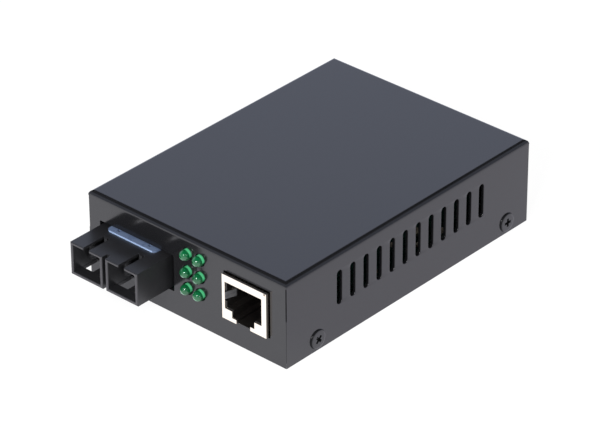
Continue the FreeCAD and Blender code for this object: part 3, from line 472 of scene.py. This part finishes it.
# %% The bare and plated metals
NICKEL = finish("nickel_plate", (0.84, 0.765, 0.655), (0.875, 0.805, 0.695), (0.12, 0.18),
                cells=1500.0, bump=0.02, group=DRAWN_LINES, Metallic=1.0)
SATIN_PLATE = finish("satin_plate", (0.11, 0.11, 0.115), (0.18, 0.18, 0.185), (0.42, 0.52),
                     cells=2400.0, bump=0.06, group=DRAWN_LINES, Metallic=0.5)
CUT_EDGE = finish("cut_edge", (0.30, 0.235, 0.150), (0.42, 0.335, 0.215), (0.38, 0.48),
                  cells=2400.0, bump=0.10, group=DRAWN_LINES, Metallic=0.3)
PLATED = finish("plated_steel", (0.62, 0.61, 0.57), (0.76, 0.75, 0.70), (0.26, 0.36),
                cells=2400.0, bump=0.06, group=DRAWN_LINES, Metallic=1.0)
SLEEVE_METAL = finish("sleeve_metal", (0.50, 0.50, 0.49), (0.62, 0.62, 0.60), (0.22, 0.34),
                      cells=3200.0, bump=0.08, group=DRAWN_LINES, Metallic=1.0)
TINNED = finish("tinned_lead", (0.66, 0.66, 0.64), (0.80, 0.80, 0.78), (0.24, 0.40),
                cells=2600.0, bump=0.10, group=DRAWN_LINES, Metallic=1.0)
GOLD = finish("gold_contact", (0.85, 0.60, 0.24), (0.95, 0.72, 0.34), (0.16, 0.26),
              cells=3600.0, bump=0.05, group=DRAWN_LINES, Metallic=1.0)
CAN_METAL = finish("can_aluminium", (0.60, 0.61, 0.63), (0.74, 0.75, 0.77), (0.26, 0.38),
                   cells=2600.0, bump=0.06, group=DRAWN_LINES, Metallic=1.0)
print("metals:", NICKEL.name, PLATED.name, GOLD.name)


# %% The board, its chips and the lamps' clear green
BOARD_GREEN = finish("board_green", (0.004, 0.026, 0.020), (0.008, 0.042, 0.032), (0.22, 0.32),
                     cells=1800.0, drift=420.0, bump=0.15, depth=0.02)
CHIP_BLACK = finish("chip_black", (0.016, 0.016, 0.017), (0.028, 0.028, 0.030), (0.50, 0.62),
                    cells=6000.0, drift=500.0, bump=0.3, depth=0.02)
FERRITE = finish("ferrite", (0.030, 0.029, 0.029), (0.055, 0.053, 0.052), (0.55, 0.70),
                 cells=4000.0, drift=700.0, bump=0.4, depth=0.03)
CERAMIC = finish("ceramic", (0.34, 0.29, 0.23), (0.46, 0.41, 0.34), (0.42, 0.55),
                 cells=5000.0, drift=900.0, bump=0.2)
LAMP_GREEN = finish("lamp_green", (0.002, 0.125, 0.036), (0.005, 0.180, 0.056), (0.05, 0.09),
                    cells=900.0, drift=300.0, bump=0.01, Transmission_Weight=0.35, IOR=1.53,
                    Coat_Weight=0.2, Coat_Roughness=0.03)
print("board, chips and lamps:", BOARD_GREEN.name, CHIP_BLACK.name, LAMP_GREEN.name)


# %% [markdown]
# ## Finishes and painted highlights that know which way they face
# Two finishes change over one small piece. Black oxide is polished on a screw's face and
# dull on its rim. A clear lamp gets a painted highlight as a pale crescent at its foot and a
# painted reflection of the table as a pale patch low on its dome. Real refraction would need
# a lens modelled down to its chip, so these are plain tints painted into the colour. The surface's own
# direction says where each one goes.

# %% Dull rims and painted lens highlights
def dull_rim(material):
    """The gloss grows with the size of the normal's X, which is 1 on a screw's face."""
    tree = material.node_tree
    way = tree.nodes.new("ShaderNodeSeparateXYZ")
    tree.links.new(tree.nodes.new("ShaderNodeTexCoord").outputs["Normal"], way.inputs[0])
    size = worked_out(tree, "ABSOLUTE", way.outputs["X"])
    gloss = fade(tree, size, 0.75, 0.95, 0.06, 0.5)
    tree.links.new(gloss, tree.nodes["Principled BSDF"].inputs["Specular IOR Level"])


def paint_lens_highlights(material, spots):
    """Painted highlights and painted reflections: paler tints where the normal lies near a given
    way, each as (way, edge, full, tint, gone, kept). Along Y, in metres, a tint grows from nothing at
    gone to all at kept."""
    tree = material.node_tree
    base = tree.nodes["Principled BSDF"].inputs["Base Color"]
    facing = tree.nodes.new("ShaderNodeTexCoord").outputs["Normal"]
    depth = tree.nodes.new("ShaderNodeSeparateXYZ")
    tree.links.new(tree.nodes.new("ShaderNodeTexCoord").outputs["Object"], depth.inputs[0])
    for way, edge, full, tint, gone, kept in spots:
        near = fade(tree, along_way(tree, facing, way), edge, full)
        band = fade(tree, depth.outputs["Y"], gone, kept)
        share = worked_out(tree, "MULTIPLY", near, band)
        tree.links.new(blended(tree, share, base.links[0].from_socket, tint), base)


NEAR_PANEL = (-0.04935, -0.04905)   # the tint is on the barrel's foot and not on the dome
EVERYWHERE = (-2.0, -1.0)           # the whole lamp lies past the second of these
# Painted light on the lenses: the pale crescent at the foot is a painted highlight, and the pale patch
# low on the dome is a painted reflection of the table.
PAINTED_CRESCENT_HIGHLIGHT = ((0.62, 0.0, 0.78), 0.30, 0.70, (0.16, 0.95, 0.42), *NEAR_PANEL)
PAINTED_RIM_REFLECTION = ((-0.28, -0.75, -0.61), 0.80, 0.95, (0.30, 0.68, 0.45), *EVERYWHERE)
dull_rim(BLACK_SCREW)
paint_lens_highlights(LAMP_GREEN, [PAINTED_CRESCENT_HIGHLIGHT, PAINTED_RIM_REFLECTION])
print("facing finishes:", BLACK_SCREW.name, LAMP_GREEN.name)


# %% [markdown]
# ## Sheet metal as one blank
# The cover is cut flat from one steel sheet, and its four walls are folded down. The mesh
# can be made the same way: an outline and its holes are drawn flat, the flat region is
# filled with triangles, and a folding rule carries every point round the bends. Cut edges
# are rounded by rings of the same outlines, each a little wider and deeper than the last.

# %% Outlines on the flat sheet
def rounded_rectangle(width, height, radius, steps=4):
    """Corner arcs of the radius about the corners of the smaller rectangle inside."""
    turn = np.linspace(0, math.pi / 2, steps + 1)
    arc = np.stack([np.cos(turn), np.sin(turn)], 1) * radius
    shift = np.array([width / 2 - radius, height / 2 - radius])
    quarters = [arc + shift, arc[:, ::-1] * (-1, 1) + shift * (-1, 1),
                -arc - shift, arc[:, ::-1] * (1, -1) + shift * (1, -1)]
    return np.concatenate(quarters)


def offset_loop(loop, widths):
    """Moves each corner along its mitre, so that every side shifts left by the width."""
    ahead = np.roll(loop, -1, 0) - loop
    ahead /= np.linalg.norm(ahead, axis=1, keepdims=True)
    left = np.stack([-ahead[:, 1], ahead[:, 0]], 1)
    before = np.roll(left, 1, 0)
    mitre = (left + before) / (1 + (left * before).sum(1, keepdims=True))
    return loop + mitre * np.broadcast_to(widths, len(loop))[:, None]


def fill(loops, creases=()):
    """Delaunay triangles between an outline and its holes. A triangle stays if a line to
    the right of its middle crosses the loops an odd number of times."""
    points = np.concatenate(loops)
    starts = np.cumsum([0] + [len(loop) for loop in loops])
    edges = [np.stack([np.arange(len(p)), np.roll(np.arange(len(p)), -1)], 1) + s
             for p, s in zip(loops, starts)]
    rims = np.concatenate(edges)
    lines = [tuple(map(int, e)) for e in rims] + [tuple(map(int, e)) for e in creases]
    _, _, faces, origin, _, _ = delaunay_2d_cdt([Vector(p) for p in points], lines, [], 0, 1e-7)
    back_to = np.array([o[0] for o in origin])
    faces = back_to[np.array([f for f in faces if len(f) == 3])]
    middle = points[faces].mean(1)[:, None]
    a, b = points[rims[:, 0]], points[rims[:, 1]]
    spans = (a[:, 1] > middle[..., 1]) != (b[:, 1] > middle[..., 1])
    rise = np.where(b[:, 1] == a[:, 1], 1.0, b[:, 1] - a[:, 1])
    cross = a[:, 0] + (middle[..., 1] - a[:, 1]) * (b[:, 0] - a[:, 0]) / rise
    inside = (spans & (middle[..., 0] < cross)).sum(1) % 2 == 1
    return faces[inside]


def sheet_mesh(name, loops, rims, thickness, place, creases=()):
    """A closed sheet. Loops are functions of depth and give flat corners; the first is the
    outline. Rings run from the outer face round the cut edge to the inner face."""
    turn = np.array([0.0, 0.25, 0.6, 1.0]) * math.pi / 2
    sides = 1 - np.sin(turn)
    depths = 1 - np.cos(turn)
    rings = []
    for near in (True, False):
        for side, depth in zip(sides, depths) if near else zip(sides[::-1], depths[::-1]):
            ring = []
            for loop, rim in zip(loops, rims):
                deep = depth * np.max(rim) if near else thickness - depth * np.max(rim)
                ring.append(np.column_stack([
                    offset_loop(loop(deep)[:, :2], side * rim), loop(deep)[:, 2:],
                    np.full(len(loop(deep)), deep)]))
            rings.append(ring)
    flat = [ring[:, :2] for ring in rings[0]]
    faces = fill(flat, creases)
    total = sum(len(ring) for ring in flat)
    points = np.concatenate([place(np.concatenate(ring)) for ring in rings])
    walls = []
    start = 0
    for ring in flat:
        here = start + np.arange(len(ring))
        there = np.roll(here, -1)
        for k in range(len(rings) - 1):
            walls.append(np.stack([here, there, there + total, here + total], 1) + k * total)
        start += len(ring)
    inner = faces[:, ::-1] + (len(rings) - 1) * total
    return clean(write_mesh(name, points, [faces, inner, np.concatenate(walls)]))


print("sheet outlines ready")


# %% [markdown]
# ## The press brake
# A press brake bends a flat blank round a tool, and each wall swings down about its own
# fold. The mesh could be bent by a modifier, one wall at a time, but a rule that carries
# every flat point to its folded place does all four at once, holes and all. The rule keeps
# the length of the sheet's outer face, so a hole lands where its wall's measure says.

# %% Fold a blank into a five-sided box
FOLD_GAP = 0.015   # keeps two folds that meet at a corner a hair apart


class Folded:
    """A blank with a middle and four flaps that bend down round a radius. Flat places are
    (u, v, flap), where the flap is 0 on the side flaps and 1 on the end flaps."""

    def __init__(self, width, length, drop, radius, thickness, seams, steps=8):
        self.half = np.array([width / 2 - radius, length / 2 - radius])
        self.size = (width, length)
        self.radius, self.thickness, self.drop = radius, thickness, drop
        self.seams, self.steps = seams, steps

    def reach(self, flap, down):
        """Distance from the middle of the blank to a point that ends up down the wall."""
        return self.half[flap] + self.radius * math.pi / 2 + down - self.radius

    def corner(self, depth, seam):
        """One corner of the outline, from the end flap's foot to the side flap's foot. Both
        edges shrink by the depth and by the seam's gap, so they meet in a mitre."""
        radius, tight = self.radius, self.radius - depth
        turn = np.linspace(math.pi / 2, 0, self.steps + 1)
        end = np.column_stack([self.half[0] + tight * np.sin(turn) - FOLD_GAP,
                               self.half[1] + radius * turn])
        side = np.column_stack([self.half[0] + radius * turn,
                                self.half[1] + tight * np.sin(turn) - FOLD_GAP])[::-1]
        foot = np.array([[self.size[0] / 2 - gap - depth, self.reach(1, down)]
                         for down, gap in seam[::-1]])
        edge = np.array([[self.reach(0, down), self.size[1] / 2 - gap - depth]
                         for down, gap in seam])
        flat = np.concatenate([foot, end, side[1:], edge])
        flap = np.concatenate([np.ones(len(foot) + len(end)), np.zeros(len(side) - 1 + len(edge))])
        return np.column_stack([flat, flap])

    def outline(self, depth):
        """The rear corner and the front one, mirrored to all four, in one turn to the left."""
        front, rear = (self.corner(depth, seam) for seam in self.seams)
        quarters = [rear * (-1, 1, 1), front[::-1] * (-1, -1, 1), front * (1, -1, 1), rear[::-1]]
        return np.concatenate(quarters)

    def rims(self, width):
        """How far each outline corner is rounded: nothing where two folds meet."""
        feet = len(self.seams[0])
        one = np.full(2 * feet + 2 * self.steps + 1, width)
        one[feet:feet + 2 * self.steps + 1] = 0.0
        return np.concatenate([one, one[::-1], one, one[::-1]])

    def creases(self):
        """Pairs of outline corners joined across the blank at each step of a bend."""
        feet, steps = len(self.seams[0]), self.steps
        count = 2 * feet + 2 * steps + 1
        end, side = feet + np.arange(steps + 1), feet + steps + np.arange(steps + 1)
        quarters = [k * count + (np.arange(count) if k % 2 == 0 else np.arange(count)[::-1])
                    for k in range(4)]
        pairs = [(0, 3, end), (1, 2, end), (0, 1, side), (3, 2, side)]
        return np.concatenate([np.stack([quarters[a][ids], quarters[b][ids]], 1)
                               for a, b, ids in pairs])

    def place(self, rows):
        """Carries (u, v, flap, depth) round the bend: along the arc the point turns about
        the bend's axis at the radius less the depth, and past it runs straight down."""
        flat, flap, depth = rows[:, :2], rows[:, 2].astype(int), rows[:, 3]
        pick = np.arange(len(rows))
        along = flat[pick, flap]
        start = self.half[flap]
        run = np.abs(along) - start
        turn = np.clip(run / self.radius, 0, math.pi / 2)
        tight = self.radius - depth
        out = flat.copy()
        out[pick, flap] = np.sign(along) * (np.minimum(np.abs(along), start) + tight * np.sin(turn))
        fall = np.maximum(run - self.radius * math.pi / 2, 0)
        return np.column_stack([out, tight * np.cos(turn) - self.radius - fall])


def facing_right(rows):
    """The same loop, turned so that it runs clockwise, with the sheet on its left."""
    x, y = rows[:, 0], rows[:, 1]
    area = (x * np.roll(y, -1) - np.roll(x, -1) * y).sum()
    return rows[::-1] if area > 0 else rows


def wall_hole(folded, flap, sign, across, z, shape):
    """A hole drawn about its own centre as (across, up), laid on one flap of the blank."""
    flat = np.zeros((len(shape), 2))
    flat[:, flap] = sign * folded.reach(flap, folded.drop - z - shape[:, 1])
    flat[:, 1 - flap] = across + shape[:, 0]
    rows = facing_right(np.column_stack([flat, np.full(len(flat), flap)]))
    return lambda depth: rows


print("press brake ready")


# %% [markdown]
# ## The cover
# The lid, the two sides and both end panels are one sheet. It could be drawn as a hollow
# block, but a folded blank also gives the corners, where two cut edges meet in a mitre. The
# front ones stand open by a hair over their upper half, and the rear ones are closed tight.
# The vents are punched with round ends, and paint gathers on their rims.

# %% Measures of the cover
OPEN_DROP = 11.0      # down to here the front corners stand a little open
OPEN_GAP, SHUT_GAP = 0.15, 0.02
VENTS, VENT_PITCH, VENT_MIDDLE, VENT_Z = 12, 5.18, 0.2, 15.2
SCREW_ENDS = {-36.8: 45, 39.8: 0}   # place along the case, and how far its cross is turned
SCREW_Z = 3.5
LAMP_COLUMNS, LAMP_ROWS = (0.6, 5.1), (9.9, 15.15, 20.4)
FRONT_WINDOWS = {     # across, height of the middle, width and height
    "transceiver": (-17.6, 12.4, 26.6, 10.8),
    "jack": (21.48, 13.95, 16.0, 14.0),
}
POWER_X, POWER_Z = 18.0, 13.8
SEAMS = [[(FOLD + 0.13, gap), (OPEN_DROP, gap), (OPEN_DROP + 0.4, SHUT_GAP), (CASE_H, SHUT_GAP)]
         for gap in (OPEN_GAP, SHUT_GAP)]
cover = Folded(CASE_W, CASE_L, CASE_H, FOLD, SHEET, SEAMS)
print("vents run over", round(VENT_PITCH * (VENTS - 1), 2), "mm of", CASE_L.round(1))


# %% Punch and fold the cover
holes, hole_rims = [], []


def punch(flap, sign, across, z, shape, rim=0.12):
    """Adds one hole to the cover's blank."""
    holes.append(wall_hole(cover, flap, sign, across, z, shape))
    hole_rims.append(rim)


def round_hole(across, steps=8):
    """A rounded square whose corner arcs leave next to nothing straight."""
    return rounded_rectangle(across, across, across / 2 - 0.001, steps)


for sign in (-1, 1):
    for vent in range(VENTS):
        middle = VENT_MIDDLE + VENT_PITCH * (vent - (VENTS - 1) / 2)
        punch(0, sign, middle, VENT_Z, rounded_rectangle(2.0, 10.2, 0.999, 8), 0.14)
    for y in SCREW_ENDS:
        punch(0, sign, y, SCREW_Z, round_hole(3.1), 0.1)
for x in LAMP_COLUMNS:
    for z in LAMP_ROWS:
        punch(1, -1, x, z, round_hole(3.5))
for x, z, width, height in FRONT_WINDOWS.values():
    punch(1, -1, x, z, rounded_rectangle(width, height, 0.25))
punch(1, 1, POWER_X, POWER_Z, round_hole(8.0, 10))
cover_mesh = sheet_mesh("cover_sheet", [cover.outline, *holes], [cover.rims(0.1), *hole_rims], SHEET,
                        lambda rows: cover.place(rows) + (0, 0, CASE_H), cover.creases())
piece("cover_sheet", cover_mesh, CASE_PAINT, "case_paint", "top_cover")


# %% [markdown]
# ## Moulded and machined blocks
# Square-edged parts catch no light on their edges, and real ones always have a small
# radius. The CAD mesh is loose triangles, so a copy is merged, its flat regions are joined
# and cut up afresh, and a bevel rounds every edge that turns by more than 30 degrees.

# %% Round the edges of copies
WELD = 1e-3   # millimetres: loose corners nearer than this are one corner


def softened(node, material, width=0.1, segments=2):
    """A merged copy of a CAD node with rounded edges, standing for that node."""
    mesh = NODES[node].data.copy()
    work = bmesh.new()
    work.from_mesh(mesh)
    bmesh.ops.remove_doubles(work, verts=work.verts, dist=WELD * MM)
    bmesh.ops.dissolve_limit(work, angle_limit=math.radians(1), verts=work.verts,
                             edges=work.edges, delimit={"NORMAL"})
    bmesh.ops.triangulate(work, faces=[f for f in work.faces if len(f.verts) > 4])
    work.to_mesh(mesh)
    work.free()
    for layer in list(mesh.attributes):
        if layer.name.startswith(("sharp", "custom_normal")):
            mesh.attributes.remove(layer)
    obj = bpy.data.objects.new(node + "_soft", mesh)
    scene.collection.objects.link(obj)
    mesh.materials.clear()
    mesh.materials.append(material)
    mesh.polygons.foreach_set("use_smooth", np.ones(len(mesh.polygons), bool))
    bevel = obj.modifiers.new("rounded_edges", "BEVEL")
    bevel.width, bevel.segments = width * MM, segments
    bevel.limit_method, bevel.angle_limit = "ANGLE", math.radians(30)
    bevel.harden_normals = True
    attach(obj, "root")
    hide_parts(node)
    print(obj.name, len(mesh.polygons), "faces before rounding")
    return obj


print("edge rounding ready")


# %% [markdown]
# ## Second coats
# The transceiver's front faces take a paler coat with a coarser grain, and the clip's front
# face a lighter blue: both are painted highlights for the light that their front rims catch.
# Cut tin shows its steel at the edge. Each could be a part of its own, but they are the same
# piece with another surface, so the faces inside a named box take a second coat. The jack's spring
# fingers are satin where the rest of its shield is bright.

# %% Give some faces a second coat
def corner_table(mesh):
    """Each vertex's place in millimetres, the vertex at each face corner, and the number of
    each face's first corner."""
    spots = np.empty(3 * len(mesh.vertices), np.float32)
    mesh.vertices.foreach_get("co", spots)
    corners = np.empty(len(mesh.loops), np.int32)
    mesh.loops.foreach_get("vertex_index", corners)
    firsts = np.empty(len(mesh.polygons), np.int32)
    mesh.polygons.foreach_get("loop_start", firsts)
    return spots.reshape(-1, 3) / MM, corners, firsts


def recoat(obj, *coats):
    """Each coat, as (material, low, high), goes on the faces inside its box: those whose
    corners are all in it, which is a logical and over each face's run of corners."""
    mesh = obj.data
    spots, corners, firsts = corner_table(mesh)
    index = np.zeros(len(firsts), np.int32)
    for material, low, high in coats:
        mesh.materials.append(material)
        inside = ((spots > low) & (spots < high)).all(1)
        index[np.logical_and.reduceat(inside[corners], firsts)] = len(mesh.materials) - 1
    mesh.polygons.foreach_set("material_index", index)
    print(obj.name, "second coats on", int((index > 0).sum()), "faces")


def front_slab(node, depth=0.1):
    """A flat box about a node's front face, wider and higher than the node."""
    low, high = box_mm(node)
    front = low[1]
    low, high = low - 1.0, high + 1.0
    low[1], high[1] = front - depth, front + depth
    return low, high


print("second coats ready")


# %% Soften the tray, the transceiver and its clip
softened("bottom_tray", TRAY_PAINT, 0.12)
housing = softened("transceiver_housing", BLACK_PLASTIC, 0.045)
# The housing's front faces take the paler coat, a painted highlight.
recoat(housing, (FRONT_FACE_HIGHLIGHT, *front_slab("transceiver_housing")))
for side in ("left", "right"):
    softened(f"latch_{side}", BLACK_PLASTIC, 0.08)
    softened(f"lamp_holder_{side}", BLACK_PLASTIC, 0.1)
clip = softened("transceiver_clip", BLUE_PLASTIC, 0.1, 3)
# The clip's front face takes the lighter blue, a painted highlight.
recoat(clip, (BLUE_FRONT_HIGHLIGHT, *front_slab("transceiver_clip")))


# %% Soften the jack, the power jack and the board
shield = softened("jack_shield", NICKEL, 0.1)
front = box_mm("jack_shield")[0][1] - 0.1   # just ahead of the shield's frame
FINGERS = ((14.5, front, BOARD_TOP + 5.7), (27.8, front + 3.6, BOARD_TOP + 8.0))
RIGHT_EDGE = ((29.0, front, 5.0), (29.4, front + 0.6, 21.0))
TOP_EDGE = ((13.0, front, 20.5), (30.0, front + 0.6, 21.0))
recoat(shield, (SATIN_PLATE, *FINGERS), (CUT_EDGE, *RIGHT_EDGE), (CUT_EDGE, *TOP_EDGE))
softened("jack_insert", SOCKET_PLASTIC, 0.1)
softened("power_jack_housing", SOCKET_PLASTIC, 0.12)
softened("circuit_board", BOARD_GREEN, 0.05)


# %% [markdown]
# ## Turned pieces
# A lamp's lens, a capacitor's can and a screw are all round about an axis. The surface is a
# function of two numbers: the place along a profile and the turn about the axis. Working
# it out as one grid keeps a dome smooth, where the CAD model has a single bevel.

# %% Turn a profile about an axis
def ring_frame(along):
    """Two unit vectors square to the axis and to each other."""
    along = np.asarray(along, float)
    side = np.cross(along, (0.0, 0.0, 1.0) if abs(along[2]) < 0.9 else (1.0, 0.0, 0.0))
    side /= np.linalg.norm(side)
    return along, side, np.cross(along, side)


def grid_faces(rows, columns):
    """Quads over a grid whose columns run round and meet."""
    k = np.arange(rows * columns).reshape(rows, columns)
    below, above = k[:-1], k[1:]
    quads = [below, np.roll(below, -1, 1), np.roll(above, -1, 1), above]
    return np.stack(quads, -1).reshape(-1, 4)


def turned(name, profile, centre, along, steps):
    """Point = centre + radius * (cos turn * side + sin turn * other) + height * axis."""
    profile = np.asarray(profile, float)
    axis, side, other = ring_frame(along)
    turn = np.linspace(0, 2 * math.pi, steps, endpoint=False)
    ring = np.outer(np.cos(turn), side) + np.outer(np.sin(turn), other)
    points = centre + profile[:, 0, None, None] * ring + profile[:, 1, None, None] * axis
    faces = grid_faces(len(profile), steps)
    return clean(write_mesh(name, points.reshape(-1, 3), [faces]), 1e-8)


print("turning ready")


# %% Turn the six lenses
NOSE_SET = 0.3     # the real dome ends this much short of the bevelled nose
LAMPS = [f"lamp_{side}_{level}" for side in ("left", "right") for level in ("low", "middle", "high")]


def make_lens(node):
    """A straight barrel, then a quarter circle of profile: radius * cos t across and the
    barrel's length + radius * sin t along."""
    low, high = box_mm(node)
    radius = (high[0] - low[0]) / 2
    barrel = high[1] - low[1] - NOSE_SET - radius
    t = np.linspace(0, math.pi / 2, 17)
    dome = np.stack([radius * np.cos(t), barrel + radius * np.sin(t)], 1)
    centre = ((low[0] + high[0]) / 2, high[1], (low[2] + high[2]) / 2)
    return turned(node + "_lens", np.concatenate([[(0, 0), (radius, 0)], dome]), centre, (0, -1, 0), 64)


for node in LAMPS:
    piece(node + "_lens", make_lens(node), LAMP_GREEN, "lamp_green", node)


# %% [markdown]
# ## Pan-head screws
# The head is a nearly flat disc with a rounded rim and a cross-shaped recess. A grid on a
# square is easy to cut along straight lines, and a head needs a round rim, so the square is
# mapped to a disc: each coordinate is shortened by the other one. Near the middle the map
# changes almost nothing, so the cross keeps its straight walls, and the rim comes out round.

# %% Shape a screw's face
HEAD_R, HEAD_T, SHANK_R, SHANK_L = 2.8, 0.5, 1.25, 4.0
TIP = 0.4             # the bevel on the shank's end
ARM_W, ARM_L, RECESS = 0.8, 2.5, 0.95
WALL_SLOPE = 0.06     # how far a recess wall leans over its depth


def cross_grid(twist):
    """The face as a disc of points: x = u * sqrt(1 - v^2 / 2) and y alike, raised to a flat
    top that drops at the rim with a high power of the radius, then cut by the cross."""
    near, far = ARM_W / 2 / HEAD_R, ARM_L / 2 / HEAD_R
    half = np.concatenate([np.linspace(0, near - WALL_SLOPE / HEAD_R, 3),
                           np.linspace(near, far - WALL_SLOPE / HEAD_R, 5),
                           far + (1 - far) * np.sin(np.linspace(0, math.pi / 2, 14))])
    line = np.concatenate([-half[:0:-1], half])
    u, v = np.meshgrid(line, line, indexing="ij")
    x, y = u * np.sqrt(1 - v * v / 2), v * np.sqrt(1 - u * u / 2)
    rho = np.hypot(x, y)
    dome = HEAD_T * (1 - 0.08 * rho ** 2 - 0.92 * rho ** 22) * 0.98
    thin, long = near - WALL_SLOPE / 2 / HEAD_R, far - WALL_SLOPE / 2 / HEAD_R
    in_cross = ((abs(u) < thin) & (abs(v) < long)) | ((abs(v) < thin) & (abs(u) < long))
    height = dome - RECESS * in_cross * (1 - 0.35 * rho)
    turn = math.radians(twist)
    across = HEAD_R * (x * math.cos(turn) - y * math.sin(turn))
    aside = HEAD_R * (x * math.sin(turn) + y * math.cos(turn))
    return across, aside, height


print("screw face:", cross_grid(0)[0].size, "points")


# %% Make the four cover screws
def make_screw(name, centre, along, twist):
    """The cut dome, then rings from its rim down under the head and along the shank."""
    across, aside, height = cross_grid(twist)
    count = len(across)
    k = np.arange(count * count).reshape(count, count)
    top = np.stack([k[:-1, :-1], k[1:, :-1], k[1:, 1:], k[:-1, 1:]], -1).reshape(-1, 4)
    rim = np.concatenate([k[:-1, 0], k[-1, :-1], k[:0:-1, -1], k[0, :0:-1]])
    unit = np.stack([across.ravel()[rim], aside.ravel()[rim]], 1) / HEAD_R
    rings = [(HEAD_R, 0.0), (SHANK_R, 0.0), (SHANK_R, TIP - SHANK_L), (SHANK_R - TIP, -SHANK_L),
             (0.0, -SHANK_L)]
    low = np.concatenate([np.column_stack([unit * r, np.full(len(unit), h)]) for r, h in rings])
    flat = np.concatenate([np.column_stack([across.ravel(), aside.ravel(), height.ravel()]), low])
    axis, side, other = ring_frame(along)
    points = centre + flat[:, :1] * side + flat[:, 1:2] * other + flat[:, 2:] * axis
    start = count * count + np.arange(len(rings)) * len(unit)
    loops = [rim, *[s + np.arange(len(unit)) for s in start]]
    walls = [np.stack([a, np.roll(a, -1), np.roll(b, -1), b], 1) for a, b in zip(loops, loops[1:])]
    return write_mesh(name, points, [top, *walls])


screws = bmesh.new()
for y, twist in SCREW_ENDS.items():
    for sign in (-1, 1):
        one = make_screw("screw", (sign * CASE_W / 2, y, SCREW_Z), (sign, 0, 0), twist)
        screws.from_mesh(one)
screw_mesh = bpy.data.meshes.new("cover_screws_turned")
screws.to_mesh(screw_mesh)
screws.free()
piece("cover_screws_turned", clean(screw_mesh, 1e-8), BLACK_SCREW, "black_screw", "cover_screws",
      angle=30)


# %% [markdown]
# ## What stays as it is
# The inner parts are seen only through the vents and sockets, if at all. They could be
# rounded as the others are, but nobody would see the edge, so their CAD meshes stay and
# take their finish directly.

# %% Coat what stays as it is
COATS = {
    "board_standoffs": PLATED, "board_screws": PLATED, "laser_can": PLATED,
    "detector_can": PLATED, "crystal": PLATED, "ferrule_sleeve_left": SLEEVE_METAL,
    "ferrule_sleeve_right": SLEEVE_METAL, "transceiver_board": BOARD_GREEN,
    "transceiver_pins": TINNED, "lamp_leads": TINNED, "chip_leads": TINNED,
    "jack_contacts": GOLD, "power_jack_pin": NICKEL, "power_jack_spring": NICKEL,
    "magnetics": CHIP_BLACK, "converter_chip": CHIP_BLACK, "regulator": CHIP_BLACK,
    "inductor": FERRITE, "input_capacitor": CAN_METAL, "output_capacitor": CAN_METAL,
    "ceramic_parts": CERAMIC,
}
for node, material in COATS.items():
    NODES[node].data.materials.clear()
    NODES[node].data.materials.append(material)
print(len(COATS), "nodes coated")
